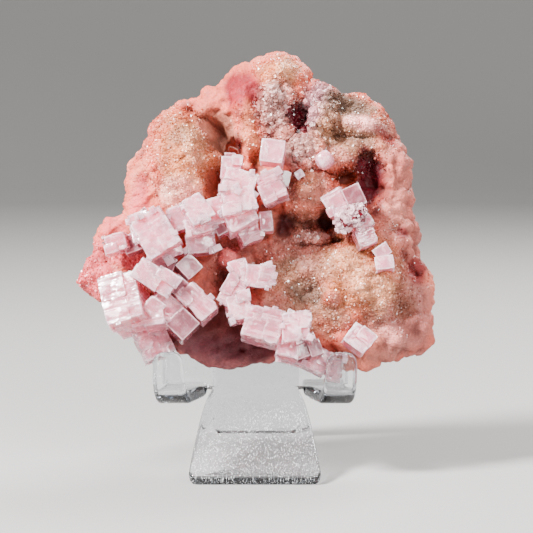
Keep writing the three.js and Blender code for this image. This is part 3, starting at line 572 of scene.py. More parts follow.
def block_lattice(nx, ny, nz):
    """The surface of a block of cells: whole-numbered places, and quads that face outwards."""
    index = np.full((nx + 1, ny + 1, nz + 1), -1)
    outer = np.ones(index.shape, bool)
    outer[1:-1, 1:-1, 1:-1] = False
    index[outer] = np.arange(outer.sum())
    quads = []
    for axis in range(3):
        for end in (0, -1):
            side = np.take(index, end, axis=axis)
            corners = [side[:-1, :-1], side[1:, :-1], side[1:, 1:], side[:-1, 1:]]
            if (end == 0) != (axis == 1):
                corners.reverse()
            quads.append(np.stack(corners, -1).reshape(-1, 4))
    return np.argwhere(outer), np.concatenate(quads)


def vertex_normals(places, quads):
    """The direction that each place of a closed mesh of quads faces."""
    a, b, c, d = (places[quads[:, i]] for i in range(4))
    faces = np.cross(c - a, d - b)
    normals = np.zeros_like(places)
    for i in range(4):
        np.add.at(normals, quads[:, i], faces)
    return normals / np.maximum(np.linalg.norm(normals, axis=1, keepdims=True), 1e-12)


def new_mesh(name, places, faces):
    """A mesh of quads."""
    mesh = bpy.data.meshes.new(name)
    mesh.from_pydata(np.asarray(places).tolist(), [], np.asarray(faces).tolist())
    mesh.validate()
    return mesh


def add_values(mesh, name, values):
    """Stores one number or colour for each vertex."""
    values = np.asarray(values, np.float32)
    if values.ndim == 1:
        mesh.attributes.new(name, "FLOAT", "POINT").data.foreach_set("value", values)
        return
    colours = np.concatenate([values[:, :3], np.ones((len(values), 1), np.float32)], 1)
    mesh.attributes.new(name, "FLOAT_COLOR", "POINT").data.foreach_set("color", colours.ravel())


def place_piece(name, mesh, material, sharp=None):
    """Makes a mesh a piece of the object, smooth but for edges over `sharp` degrees."""
    piece = bpy.data.objects.new(name, mesh)
    bpy.context.scene.collection.objects.link(piece)
    mesh.materials.clear()
    mesh.materials.append(material)
    mesh.polygons.foreach_set("use_smooth", np.ones(len(mesh.polygons), bool))
    if sharp is not None:
        mesh.set_sharp_from_angle(angle=math.radians(sharp))
    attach(piece, "root")
    return piece


def combined(meshes, operation="UNION"):
    """The union of closed meshes, or the first without the others, as one mesh."""
    meshes = list(meshes)
    while len(meshes) > 1:
        if operation == "UNION":
            pairs = [meshes[i : i + 2] for i in range(0, len(meshes), 2)]
        else:
            pairs = [meshes[:2]] + [[mesh] for mesh in meshes[2:]]
        meshes = [combined_pair(*pair, operation) if len(pair) == 2 else pair[0] for pair in pairs]
    return meshes[0]


def combined_pair(first, second, operation):
    """Two closed meshes made into one. The two themselves are used up."""
    objects = [bpy.data.objects.new("work", mesh) for mesh in (first, second)]
    for work in objects:
        bpy.context.scene.collection.objects.link(work)
    modifier = objects[0].modifiers.new("join", "BOOLEAN")
    modifier.operation = operation
    modifier.solver = "MANIFOLD"
    modifier.object = objects[1]
    depsgraph = bpy.context.evaluated_depsgraph_get()
    result = bpy.data.meshes.new_from_object(objects[0].evaluated_get(depsgraph))
    for work in objects:
        mesh = work.data
        bpy.data.objects.remove(work)
        bpy.data.meshes.remove(mesh)
    return result


def mesh_places(mesh):
    """The mesh's places, as rows of three."""
    places = np.empty(len(mesh.vertices) * 3, np.float32)
    mesh.vertices.foreach_get("co", places)
    return places.reshape(-1, 3).astype(float)


def set_places(mesh, places):
    """Moves the mesh's places."""
    mesh.vertices.foreach_set("co", np.asarray(places, np.float32).ravel())
    mesh.update()


# ---- Materials ----

HALITE_IOR = 1.544
ACRYLIC_IOR = 1.49

# Sizes of the materials' patterns, in millimetres.
GRIT = 0.5  # sugary grain, and the frost on crystal faces
MOTTLE = 1.6  # soft patches of the waxy skin
CLOUDS = 4.6  # clouds in the crystals
VEILS = 1.8  # thin milky veils in them
CLAY_SPACING = 2.6
DUST_SPACING = 1.6
SCRATCHES = ((12, 1.7, 0.34), (71, 1.3, 0.38), (118, 1.5, 0.36), (157, 1.1, 0.42))  # turn, length, spacing


def new_material(name):
    """An empty material, and its node tree."""
    material = bpy.data.materials.new(name)
    material.use_nodes = True
    material.node_tree.nodes.clear()
    return material, material.node_tree


def add_node(tree, kind, inputs=None, **fields):
    """Adds a node: `fields` set its properties, and `inputs` set its sockets to values, to other nodes'
    sockets, or to other nodes' first outputs."""
    node = tree.nodes.new(kind)
    for field, value in fields.items():
        setattr(node, field, value)
    for socket, value in (inputs or {}).items():
        if isinstance(value, bpy.types.Node):
            value = value.outputs[0]
        if isinstance(value, bpy.types.NodeSocket):
            tree.links.new(value, node.inputs[socket])
        else:
            node.inputs[socket].default_value = value
    return node


def per_metre(millimetres):
    """A texture's scale for features of a real size."""
    return 1 / (millimetres * MM)


# ---- Crust: form ----

CRUST_CELLS = 188  # across the front and the back
CRUST_ROWS = 26  # round the rim

# Layers of the relief: height, as a share of the `lumps` setting, size in millimetres, and seed.
KNOB_SIZE = 3.3
KNOBBY = ((1.3, KNOB_SIZE, 5), (0.55, KNOB_SIZE * 0.42, 6))  # waxy rims
LUMPY = ((1.6, 1.8, 10), (0.5, 1.0, 11))  # frosted clots
ROLLING = ((0.8, 3.4, 4), (0.45, 1.7, 9))  # everywhere
GRAINY_NOISE, GRAINY_KNOBS = (0.2, 0.9, 7), (0.25, 1.5, 8)  # druse
BROAD = (1.1, 7, 3)  # a slow swell under them all


def outline_radius(angle):
    """Distance from the slab's middle to its outline."""
    points = OUTLINE[np.argsort(np.arctan2(OUTLINE[:, 1], OUTLINE[:, 0]))]
    turns = np.arctan2(points[:, 1], points[:, 0])
    after = np.searchsorted(turns, angle) % len(points)
    (ax, ay), (bx, by) = points[after - 1].T, points[after].T
    dx, dy = np.cos(angle), np.sin(angle)
    return (ax * by - ay * bx) / (dx * (by - ay) - dy * (bx - ax))


def scarp_cut(x, y, line, drop, reach, first, last):
    """How deep a scarp cuts: the whole drop on the left of its line, and a short bank on its right."""
    line = np.array(line, float)
    best = np.full(len(x), np.inf)
    left = np.zeros(len(x), bool)
    along = np.zeros(len(x))
    for i in range(len(line) - 1):
        (ax, ay), (bx, by) = line[i], line[i + 1]
        span = (bx - ax) ** 2 + (by - ay) ** 2
        share = np.clip(((x - ax) * (bx - ax) + (y - ay) * (by - ay)) / span, 0, 1)
        distance = np.hypot(x - ax - share * (bx - ax), y - ay - share * (by - ay))
        closer = distance < best
        best = np.where(closer, distance, best)
        left = np.where(closer, (bx - ax) * (y - ay) - (by - ay) * (x - ax) > 0, left)
        along = np.where(closer, (i + share) / (len(line) - 1), along)
    depth = drop * (first + (last - first) * along)
    return depth * np.where(left, np.exp(-best / reach), np.maximum(0, 1 - best / BANK) ** 2)


def low_lumps(x, y):
    """Gentle lumps, the same as in the solids."""
    broad = np.sin(0.55 * x + 0.23 * y + 1) * np.sin(0.5 * y - 0.21 * x + 2)
    narrow = np.sin(1.25 * x - 0.7 * y) * np.sin(1.1 * y + 0.45 * x + 1)
    return 0.7 * broad + 0.35 * narrow


def front_height(x, y):
    """Height of the crust's front above the back plane."""
    height = CRUST_BODY + low_lumps(x, y)
    for *oval, rise in MOUNDS:
        height += rise * np.exp(-1.1 * oval_distance(x, y, *oval) ** 2)
    for line, drop, reach, first, last in SCARPS:
        height -= scarp_cut(x, y, line, drop, reach, first, last)
    height = np.maximum(height - np.maximum(0, x - RIM_FALL[0]) * RIM_FALL[1], THINNEST)
    surface = height.copy()
    for *oval, depth in PITS:
        distance = oval_distance(x, y, *oval)
        middle = surface[np.argmin(distance)]
        distance = distance + 0.16 * noise(np.stack([x, y, 0 * x], 1), 1.8, 12)
        bowl = middle + 1 - depth * np.sqrt(np.clip(1 - distance**2, 0, 1))
        height = np.where(distance < 1, np.minimum(height, bowl), height)
    return height


def crust_form():
    """The crust's places in the slab's frame, its quads, and how deep each place lies in a hollow."""
    n, rows = CRUST_CELLS, CRUST_ROWS
    cells, quads = block_lattice(n, n, rows)
    a, b = cells[:, 0] * 2 / n - 1, cells[:, 1] * 2 / n - 1
    c = cells[:, 2] * 2 / rows - 1
    rim = np.abs(c) < 0.999
    angle_at_rim = math.acos(FACE_SHARE**2)
    turned = np.sign(c) * c**2 * angle_at_rim
    ring = np.maximum(np.abs(a), np.abs(b))
    share = np.where(rim, np.sqrt(np.cos(turned)), ring * FACE_SHARE)
    swell = np.where(rim, np.sqrt(np.abs(np.sin(turned))), (1 - share**4) ** 0.25)
    with np.errstate(divide="ignore", invalid="ignore"):
        beside = np.pi / 4 * (b / a) + np.where(a < 0, np.pi, 0)
        above = np.pi / 2 - np.pi / 4 * (a / b) + np.where(b < 0, np.pi, 0)
    angle = np.nan_to_num(np.where(np.abs(a) >= np.abs(b), beside, above))
    angle = (angle + np.pi) % (2 * np.pi) - np.pi
    radius = outline_radius(angle) * share
    x, y = radius * np.cos(angle), radius * np.sin(angle)
    front = front_height(x, y)
    back = BACK_CLEAR + 0.8 * (1 + low_lumps(y + 20, x))
    face = np.where(c > 0, front, back)
    places = np.stack([x, y, CRUST_MIDDLE + (face - CRUST_MIDDLE) * swell], 1)

    hollow = np.zeros(len(places))
    top = cells[:, 2] == rows
    heights = np.zeros((n + 1, n + 1))
    heights[cells[top, 0], cells[top, 1]] = places[top, 2]
    blurred = heights
    for _ in range(3):
        blurred = box_blur(blurred, 9)
    hollow[top] = (blurred - heights)[cells[top, 0], cells[top, 1]]
    return places, quads, hollow


def box_blur(grid, reach):
    """The mean over a square `reach` cells each way, with the grid's edge values carried on."""
    for axis in (0, 1):
        padded = np.pad(grid, [(reach + 1, reach) if i == axis else (0, 0) for i in (0, 1)], "edge")
        sums = np.cumsum(padded, axis=axis)
        width = 2 * reach + 1
        grid = (np.take(sums, range(width, sums.shape[axis]), axis=axis)
                - np.take(sums, range(sums.shape[axis] - width), axis=axis)) / width
    return grid


def covered(places, ovals, reach=1.1):
    """How far places lie within the nearest of some ovals: 1 inside, falling to 0 past their outlines."""
    x, y = places[:, 0], places[:, 1]
    return np.max([smoothstep(oval_distance(x, y, *oval), reach, 0.8) for oval in ovals], axis=0)


def druzy_share(places):
    """How sugary the crust is: 1 where the druse grows, and 0 on the waxy rims."""
    return covered(places, [oval for *oval, _ in DRUSE + FROST], 1.15) * (1 - covered(places, BARE))


def layered(pattern, places, layers):
    """The sum of a pattern's layers, each given as height, size and seed."""
    return sum(height * pattern(places, size, seed) for height, size, seed in layers)


def relief(places, normals, lumps):
    """Moves the crust's places: knobs on the rims, clots where it is frosted, fine grain on the druse.
    Gives the new places, and how far each stands proud of its near ground."""
    druzy = druzy_share(places)
    frosty = covered(places, [oval for *oval, _ in FROST])
    calm = 1 - 0.7 * covered(places, [UNDERSIDE]) - 0.5 * covered(places, BARE)
    calm = calm - 0.35 * covered(places, [CLEFT])
    knobby = layered(knobs, places, KNOBBY) - 1
    grainy = layered(noise, places, [GRAINY_NOISE]) + layered(knobs, places, [GRAINY_KNOBS])
    lumpy = layered(knobs, places, LUMPY) - 0.9
    proud = layered(noise, places, ROLLING)
    proud += knobby * (1 - 0.75 * druzy) + grainy * druzy * (1 - frosty) + lumpy * frosty
    proud *= calm
    at_rim = smoothstep(np.abs(normals[:, 2]), 0.8, 0.3)
    rise = (proud + calm * (0.5 + layered(noise, places, [BROAD]))) * (1 + 0.5 * at_rim)
    return places + normals * (rise * lumps)[:, None], proud


# ---- Crust: colour ----

RAGGED = ((0.2, 3.2, 22), (0.12, 1.2, 23))  # how the stains' edges wander: share, size, seed
FRONT_FROM = 4  # how far out of the slab the front's stains begin
BACK_FADE = (5, 2)  # where the back's own patches begin, and where they are whole
BACK_PATCHES = ((SAND, 11, 25), (GREY, 6, 26), (BLUSH, 4, 27))  # colour, size, seed
STAIN_DEPTH = 0.68  # the stains are named as they look when lit, so the skin itself is darker


def towards(colours, name, share):
    """Linear colours moved a share of the way to a hex colour."""
    return colours + (np.array(linear(name)[:3]) - colours) * share[:, None]


def stained_and_shaded(places, hollow, proud):
    """The crust's linear colour at each place: its stains, with painted shade in the hollows and the
    crevices and painted light on the crests.
    """
    x, y = places[:, 0], places[:, 1]
    tone = noise(places, 6, 21)
    colour = np.tile(linear(SALMON)[:3], (len(places), 1))
    colour = towards(colour, PEACH, smoothstep(tone, -0.2, 0.7))
    colour = towards(colour, ROSE, 0.6 * smoothstep(-tone, 0.1, 0.8))
    ragged = layered(noise, places, RAGGED)
    for name, *oval, strength in STAINS:
        inside = smoothstep(oval_distance(x, y, *oval) + ragged, 1.25, 0.6)
        inside = np.where(places[:, 2] < FRONT_FROM, 0, inside)
        colour = towards(colour, name, inside * strength)
    behind = smoothstep(places[:, 2], *BACK_FADE)
    for name, size, seed in BACK_PATCHES:
        patch = behind * smoothstep(noise(places, size, seed), -0.1, 0.6)
        colour = towards(colour, name, 0.6 * patch)
    # Painted shade: darker towards a deep red in the hollows, less so in the cleft.
    shade = smoothstep(hollow, 1.2, 6) * (1 - 0.8 * covered(places, [CLEFT]))
    colour = towards(colour, HOLLOW_SHADE, 0.55 * shade)
    # Painted shade in the crevices between the lumps.
    crevice = smoothstep(-proud, 0.1, 1.2)
    colour = towards(colour, HOLLOW_SHADE, 0.3 * crevice)
    # Painted light: lighter on the crests and proud places, with more painted shade in the crevices.
    lit = 1 + 0.4 * smoothstep(-hollow, 0.5, 2.5)
    lit = lit * (1 - 0.2 * crevice + 0.12 * smoothstep(proud, 0.2, 1.2))
    return np.clip(STAIN_DEPTH * colour * lit[:, None], 0, 1)


def waxy_halite(glow):
    """Massive halite tinted by clay: a matt skin over a body that light sinks into, so hollows glow red."""
    material, tree = new_material("waxy_pink_halite")
    stain_and_shading = add_node(tree, "ShaderNodeAttribute", attribute_name="stain_and_shading").outputs["Color"]
    sugar = add_node(tree, "ShaderNodeAttribute", attribute_name="sugar").outputs["Fac"]
    places = add_node(tree, "ShaderNodeTexCoord").outputs["Object"]
    grit, mottle = (
        add_node(tree, "ShaderNodeTexNoise", {
            "Vector": places, "Scale": per_metre(size), "Detail": detail,
        }).outputs["Fac"]
        for size, detail in ((GRIT, 3.0), (MOTTLE, 2.0))
    )
    sugary = add_node(tree, "ShaderNodeMapRange", {0: sugar, 3: 0.85, 4: 1.0})
    flecks = add_node(tree, "ShaderNodeMapRange", {0: grit, 1: 0.3, 2: 0.7, 3: -0.24, 4: 0.24})
    flecks = add_node(tree, "ShaderNodeMath", {0: flecks, 1: sugary}, operation="MULTIPLY")
    patches = add_node(tree, "ShaderNodeMapRange", {0: mottle, 1: 0.3, 2: 0.7, 3: 0.88, 4: 1.12})
    value = add_node(tree, "ShaderNodeMath", {0: patches, 1: flecks}, operation="ADD")
    toned = add_node(tree, "ShaderNodeHueSaturation", {"Color": stain_and_shading, "Value": value})
    matt = add_node(tree, "ShaderNodeMapRange", {0: grit, 1: 0.3, 2: 0.7, 3: 0.4, 4: 0.65})
    rise = add_node(tree, "ShaderNodeMath", {0: grit, 1: sugary}, operation="MULTIPLY")
    swell = add_node(tree, "ShaderNodeMath", {0: mottle, 1: 1.4}, operation="MULTIPLY")
    height = add_node(tree, "ShaderNodeMath", {0: rise, 1: swell}, operation="ADD")
    bump = add_node(tree, "ShaderNodeBump", {"Height": height, "Strength": 0.9, "Distance": 0.32 * MM})
    surface = add_node(tree, "ShaderNodeBsdfPrincipled", {
        "Base Color": toned,
        "Roughness": matt,
        "IOR": HALITE_IOR,
        "Specular IOR Level": 0.16,
        "Subsurface Weight": glow,
        "Subsurface Radius": (1.0, 0.6, 0.52),
        "Subsurface Scale": 1.2 * MM,
        "Normal": bump,
    })
    add_node(tree, "ShaderNodeOutputMaterial", {"Surface": surface})
    return material


def sugary_halite():
    """Grains of clear halite on the crust: bright facets over the colour of the crust under them, its
    painted shading included, so they sparkle.
    """
    material, tree = new_material("sugary_halite")
    stain_and_shading = add_node(tree, "ShaderNodeAttribute", attribute_name="stain_and_shading").outputs["Color"]
    tone = add_node(tree, "ShaderNodeAttribute", attribute_name="tone").outputs["Fac"]
    few = add_node(tree, "ShaderNodeMath", {0: tone, 1: 3.0}, operation="POWER")
    value = add_node(tree, "ShaderNodeMapRange", {0: few, 3: 0.75, 4: 1.55})
    pale = add_node(tree, "ShaderNodeMapRange", {0: tone, 1: 0.7, 3: 1.05, 4: 0.75})
    toned = add_node(tree, "ShaderNodeHueSaturation", {"Color": stain_and_shading, "Value": value, "Saturation": pale})
    surface = add_node(tree, "ShaderNodeBsdfPrincipled", {
        "Base Color": toned,
        "Roughness": 0.26,
        "IOR": HALITE_IOR,
        "Transmission Weight": 0.12,
    })
    add_node(tree, "ShaderNodeOutputMaterial", {"Surface": surface})
    return material


# ---- Crust: druse ----

GLINT = 1.15  # how much lighter a grain is than the crust under it
CLAY_SHARE = 0.15  # share of the clots' grains that are red clay
CUBE_CORNERS = np.array(list(product((-0.5, 0.5), repeat=3)))
CUBE_QUADS = np.array([(0, 1, 3, 2), (4, 6, 7, 5), (0, 4, 5, 1), (2, 3, 7, 6), (0, 2, 6, 4), (1, 5, 7, 3)])


def random_turns(random, count):
    """Rotation matrices that point every way."""
    w, x, y, z = np.moveaxis(random.normal(size=(count, 4)), 1, 0)
    length = np.sqrt(w * w + x * x + y * y + z * z)
    w, x, y, z = w / length, x / length, y / length, z / length
    rows = [1 - 2 * (y * y + z * z), 2 * (x * y - z * w), 2 * (x * z + y * w)]
    rows += [2 * (x * y + z * w), 1 - 2 * (x * x + z * z), 2 * (y * z - x * w)]
    rows += [2 * (x * z - y * w), 2 * (y * z + x * w), 1 - 2 * (x * x + y * y)]
    return np.stack(rows, 1).reshape(-1, 3, 3)


def cubes_at(spots, sides, turns):
    """Small cubes as places and quads: `sides` is the length of each one's three sides."""
    corners = np.einsum("nij,nkj->nki", turns, CUBE_CORNERS[None] * sides[:, None, :])
    places = (spots[:, None, :] + corners).reshape(-1, 3)
    quads = (CUBE_QUADS[None] + len(CUBE_CORNERS) * np.arange(len(spots))[:, None, None]).reshape(-1, 4)
    return places, quads


def scatter(random, places, quads, density, most):
    """Random spots on a surface, `density` a mm2 at its places: spots, normals and the quads under them."""
    a, b, c, d = (places[quads[:, i]] for i in range(4))
    cross = np.cross(c - a, d - b) / 2
    area = np.linalg.norm(cross, axis=1)
    expected = area * density[quads].mean(1)
    count = min(most, int(expected.sum()))
    chosen = random.choice(len(quads), count, p=expected / expected.sum())
    s, t = random.random((2, count, 1))
    spots = (a[chosen] * (1 - s) + b[chosen] * s) * (1 - t) + (d[chosen] * (1 - s) + c[chosen] * s) * t
    return spots, cross[chosen] / area[chosen, None], chosen


def grains(name, seed, form, areas, side, most, sunk):
    """A druse of small cubes on the crust, as a mesh with the crust's stains and painted shading under each
    grain.
    """
    places, quads, stain_and_shading = form
    random = np.random.default_rng(seed)
    x, y = places[:, 0], places[:, 1]
    density = np.zeros(len(places))
    for *oval, per_mm2 in areas:
        density = np.maximum(density, per_mm2 * smoothstep(oval_distance(x, y, *oval), 1.2, 0.75))
    density *= 1 - covered(places, BARE)
    density[places[:, 2] < CRUST_MIDDLE - 1] = 0
    spots, normals, chosen = scatter(random, places, quads, density, most)
    bigger = np.exp(0.2 * random.normal(size=(len(spots), 1)))
    lengths = side * bigger * random.uniform(0.8, 1.2, (len(spots), 3))
    spots = spots - normals * sunk * lengths.mean(1, keepdims=True)
    mesh = new_mesh(name, *in_row(cubes_at(spots, lengths, random_turns(random, len(spots)))))
    add_values(mesh, "stain_and_shading", np.repeat(stain_and_shading[quads[chosen]].mean(1) * GLINT, len(CUBE_CORNERS), axis=0))
    add_values(mesh, "tone", np.repeat(random.random(len(spots)), len(CUBE_CORNERS)))
    return mesh


def granular_clots(name, seed, side):
    """Clots of small cubes grown on the right cluster, grey-white with dark red specks of clay."""
    random = np.random.default_rng(seed)
    spots = []
    for middle, radii, count in CLOTS:
        ways = random.normal(size=(count, 3))
        ways /= np.linalg.norm(ways, axis=1, keepdims=True)
        ways[:, 2] = np.abs(ways[:, 2])
        lobed = 1 + 0.25 * noise(ways * radii + middle, 2.2, seed)[:, None]
        spots.append(middle + ways * radii * lobed * random.uniform(0.55, 1, (count, 1)))
    spots = np.concatenate(spots)
    count = len(spots)
    lengths = side * random.uniform(0.5, 1.4, (count, 1)) * random.uniform(0.85, 1.15, (count, 3))
    mesh = new_mesh(name, *in_row(cubes_at(spots, lengths, random_turns(random, count))))
    specks = random.random(count) < CLAY_SHARE
    stain_and_shading = np.where(specks[:, None], linear(PLUM)[:3], linear(PALE)[:3])
    add_values(mesh, "stain_and_shading", np.repeat(stain_and_shading, len(CUBE_CORNERS), axis=0))
    add_values(mesh, "tone", np.repeat(random.random(count), len(CUBE_CORNERS)))
    return mesh


def in_row(form):
    """A form's places moved from the slab's frame to the row's."""
    places, quads = form
    return to_row(places), quads


class SPECIMEN_OT_crust(bpy.types.Operator):
    """Builds the crust: lumpy waxy halite under a druse of small cubes"""

    bl_idname = "specimen.crust"
    bl_label = "Crust"

    def execute(self, context):
        chosen = settings().crust
        places, quads, hollow = crust_form()
        places, proud = relief(places, vertex_normals(places, quads), chosen.lumps)
        stain_and_shading = stained_and_shaded(places, hollow, proud)
        mesh = new_mesh("halite_crust_relief", *in_row((places, quads)))
        # The crust's colours, its painted shade and painted light included.
        add_values(mesh, "stain_and_shading", stain_and_shading)
        add_values(mesh, "sugar", druzy_share(places))
        crust = place_piece("halite_crust_relief", mesh, waxy_halite(chosen.glow))
        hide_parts("halite_crust")
        form = places, quads, stain_and_shading
        sugary = sugary_halite()
        # Each mesh of grains: name, seed, form, where, usual side, the most of them, and how far sunk.
        meshes = (
            grains("sugary_druse", 31, form, DRUSE, chosen.grain, 16000, 0.1),
            grains("frosted_grains", 32, form, FROST, chosen.grain * 1.35, 6000, 0.05),
            grains("frosted_clots", 33, form, FROST, chosen.grain * 2.2, 1100, 0.15),
            granular_clots("granular_clots", 35, chosen.grain * 2.1),
            grains("rim_grains", 34, form, RIMS, chosen.grain * 0.85, 2000, 0.1),
        )
        for mesh in meshes:
            place_piece(mesh.name, mesh, sugary, sharp=30)
        return {"FINISHED"}


# ---- Crystals ----

CELL = 0.34  # mesh cells on the crystals' faces, in millimetres
SKIN = 0.6  # how near a block's face a place has to lie to be on it
SATELLITE_EDGE = 0.12  # roundness of the satellite cubes' edges
LINE_WIDTH, STREAK_WIDTH = 0.75, 0.9  # growth lines and streaks across a face
ROUND_MILK = 0.35  # how milky the round crystal is
MARKS = ("edge", "zone", "dull", "streak")  # values that the milky halite reads at each place

# For each habit: how rough its faces are, how streaked with milk, and its number of satellite cubes.
ROUGH = {"plain": 0.2, "rings": 0.45, "lines": 0.5, "streaked": 0.5, "frosted": 0.9}
STREAKED = {"plain": 0.1, "rings": 0.25, "lines": 0.9, "streaked": 1, "frosted": 0.6}
SATELLITES = {"frosted": 5, "streaked": 4, "lines": 2, "rings": 0, "plain": 0}
DULL_SHARE = {"plain": 1, "lines": 0.3}  # habits whose crystals hold clay


def source_random(seed):
    """The run of numbers from 0 to 1 that also sizes the crystals' blocks in the solids."""
    state = seed
    while True:
        state = (state * 1664525 + 1013904223) % 4294967296
        yield state / 4294967296


def crystal_blocks(at, size, blocks):
    """The body and the corner blocks of one crystal: each (size, middle behind the front face)."""
    random = source_random(math.floor(abs(at[0] * 97 + at[1] * 31) + 0.5) + 7)
    width, height, deep = size
    parts = [(size, (0, 0, -deep / 2))]
    for _ in range(blocks):
        wide = width * (0.45 + 0.35 * next(random))
        tall = height * (0.45 + 0.35 * next(random))
        proud = 0.25 + 0.4 * next(random)
        aside = ((width - wide) / 2 + proud) * (-1 if next(random) < 0.5 else 1)
        above = ((height - tall) / 2 + proud) * (-1 if next(random) < 0.5 else 1)
        thick = deep * (0.4 + 0.4 * next(random))
        parts.append(((wide, tall, thick), (aside, above, proud - thick / 2)))
    return parts


def spaced(half, radius):
    """Places of the mesh's lines across a face: close together on the rounded edges."""
    inner = half - radius
    count = max(2, round(2 * inner / CELL))
    face = np.linspace(-inner, inner, count + 1)
    return np.concatenate([[-half, radius * 0.35 - half], face, [half - radius * 0.35, half]])


def bands(across, width, seed):
    """A number from 0 to 1 for each band of a face, `width` wide."""
    cells = np.floor(across / width).astype(np.int64)
    return lattice_random(np.stack([cells, 0 * cells, 0 * cells], 1), seed)


def growth(side, along, across, half_along, half_across, habit, seed):
    """How far one face stands proud of flat: terraces, striations, and hopper rings."""
    spots = np.stack([along, across, np.full_like(along, side * 7.0)], 1)
    rough = ROUGH[habit]
    proud = 0.2 * rough * noise(spots, 3.2, seed)
    terraces = np.floor(2.2 * (1 + noise(spots, 3.4, seed + 1)))
    proud += 0.15 * rough * (terraces - 2)
    if habit == "lines":
        proud += 0.12 * (np.round(bands(across, LINE_WIDTH, seed) * 2) - 1)
    if habit == "streaked":
        bent = across + 0.7 * along + 0.5 * noise(spots, 3, seed + 2)
        proud += 0.14 * (bands(bent, STREAK_WIDTH, seed) - 0.5)
    if habit == "rings":
        ring = np.maximum(np.abs(along) / half_along, np.abs(across) / half_across)
        proud -= 0.1 * np.floor(3.4 * (1 - ring))
    if habit == "frosted":
        proud += 0.05 * noise(spots, 0.9, seed + 3)
    return proud


def crystal_block(size, habit, seed, radius):
    """A closed block with worn edges and grown faces, about its own middle."""
    half = np.array(size) / 2
    radius = min(radius, half.min() * 0.3)
    lines = [spaced(h, radius) for h in half]
    cells, quads = block_lattice(*(len(line) - 1 for line in lines))
    places = np.stack([line[cells[:, i]] for i, line in enumerate(lines)], 1)
    # The edges are rounded, then chipped along their lines and at their corners.
    inner = np.clip(places, radius - half, half - radius)
    out = places - inner
    away = np.linalg.norm(out, axis=1, keepdims=True)
    places = inner + radius * out / away
    depth = np.sort(half - np.abs(places), axis=1)
    chipped = smoothstep(noise(places, 1.5, seed + 6), 0.1, 0.7) * smoothstep(depth[:, 1], 0.7, 0)
    chipped += 1.6 * smoothstep(noise(places, 2.6, seed + 7), 0, 0.6) * smoothstep(depth[:, 2], 1.1, 0)
    wear = 0.15 if habit in ("plain", "rings") else 0.45
    places = places - wear * chipped[:, None] * out / away
    # Each face grows by its habit.
    moved = places.copy()
    for axis in range(3):
        b, c = (axis + 1) % 3, (axis + 2) % 3
        near = smoothstep(np.abs(places[:, axis]), half[axis] - radius, half[axis])
        side = np.sign(places[:, axis])
        proud = growth(side, places[:, b], places[:, c], half[b], half[c], habit, seed + axis)
        moved[:, axis] += side * near * (proud - 0.1)
    return moved, quads


def turned(at, turn, tip):
    """The crystal's rotation: tipped forward and sideways, and turned in the slab's plane."""
    forward, sideways, plane = (
        Matrix.Rotation(math.radians(angle), 3, axis) for angle, axis in zip((*tip, turn), "XYZ")
    )
    return np.array(forward @ sideways @ plane)


def cluster_mesh(name, rows, radius):
    """One closed mesh of crystals grown into each other, in the slab's frame."""
    meshes = []
    for number, (at, size, turn, tip, blocks, habit) in enumerate(rows):
        rotation = turned(at, turn, tip)
        for part, (part_size, middle) in enumerate(crystal_blocks(at, size, blocks)):
            places, quads = crystal_block(part_size, habit, 100 * number + 10 * part, radius)
            places = (places + middle) @ rotation.T + at
            meshes.append(new_mesh(name, places, quads))
    mesh = combined(meshes)
    mesh.name = name
    return mesh


def growth_marks(places, rows):
    """Four values a point: 1 on the crystals' edges falling to 0 within the faces, how far out the point
    lies from the middle of its face, 1 at the rim, how dull its crystal is, and its milky streaks."""
    edge, zone, dull, streak = np.zeros((4, len(places)))
    closest = np.full(len(places), SKIN)
    for at, size, turn, tip, blocks, habit in rows:
        local = (places - at) @ turned(at, turn, tip)
        bent = local + np.roll(local, 1, axis=1) * (0.7 if habit == "streaked" else 0)
        stripes = smoothstep(noise(bent * (0.22, 1.3, 0.8), 0.8, 61) + 0.5 * noise(local, 2.4, 62), 0.1, 0.7)
        stripes *= STREAKED[habit]
        stripes += 0.25 * (1 - stripes) * (habit == "streaked")
        for part_size, middle in crystal_blocks(at, size, blocks):
            half = np.array(part_size) / 2
            depth = half - np.abs(local - middle)
            ordered = np.sort(depth, axis=1)
            skin = np.abs(ordered[:, 0])
            here = (skin < closest) & (ordered[:, 0] > -SKIN)
            closest = np.where(here, skin, closest)
            edge = np.where(here, smoothstep(ordered[:, 1], 0.55, 0.05), edge)
            share = np.sort(np.abs(local - middle) / half, axis=1)
            zone = np.where(here, share[:, 1], zone)
            dull = np.where(here, DULL_SHARE.get(habit, 0), dull)
            streak = np.where(here, stripes, streak)
    return edge, zone, dull, streak


def satellites(name, seed):
    """Small cubes grown on the front edges of the bigger crystals: one mesh, and its growth marks."""
    random = np.random.default_rng(seed)
    places, quads, marks, count = [], [], [], 0
    for cluster in ("crystal_left_cluster", "crystal_lower_chain"):
        for at, size, turn, tip, _, habit in CRYSTALS[cluster]:
            for _ in range(SATELLITES[habit]):
                spot = random.uniform(-1, 1, 3) * size / 2
                side = random.integers(2)
                spot[side] = math.copysign(size[side] / 2 - random.uniform(-0.3, 0.5), spot[side])
                spot[2] = random.uniform(-1.2, 0.1)
                lengths = random.uniform(0.9, 2.1) * random.uniform(0.8, 1.2, 3)
                block, faces = crystal_block(lengths, "plain", int(random.integers(1000)), SATELLITE_EDGE)
                depth = np.sort(lengths / 2 - np.abs(block), axis=1)[:, 1]
                zone = np.sort(np.abs(block) / (lengths / 2), axis=1)[:, 1]
                plain = np.zeros(len(block))
                marks.append([smoothstep(depth, 0.3, 0.03), zone, plain, plain + random.choice([0, 0.6])])
                spin = turned(at, turn + random.normal() * 14, tip)
                places.append(block @ spin.T + turned(at, turn, tip) @ spot + at)
                quads.append(faces + count)
                count += len(block)
    return new_mesh(name, np.concatenate(places), np.concatenate(quads)), np.concatenate(marks, axis=1)


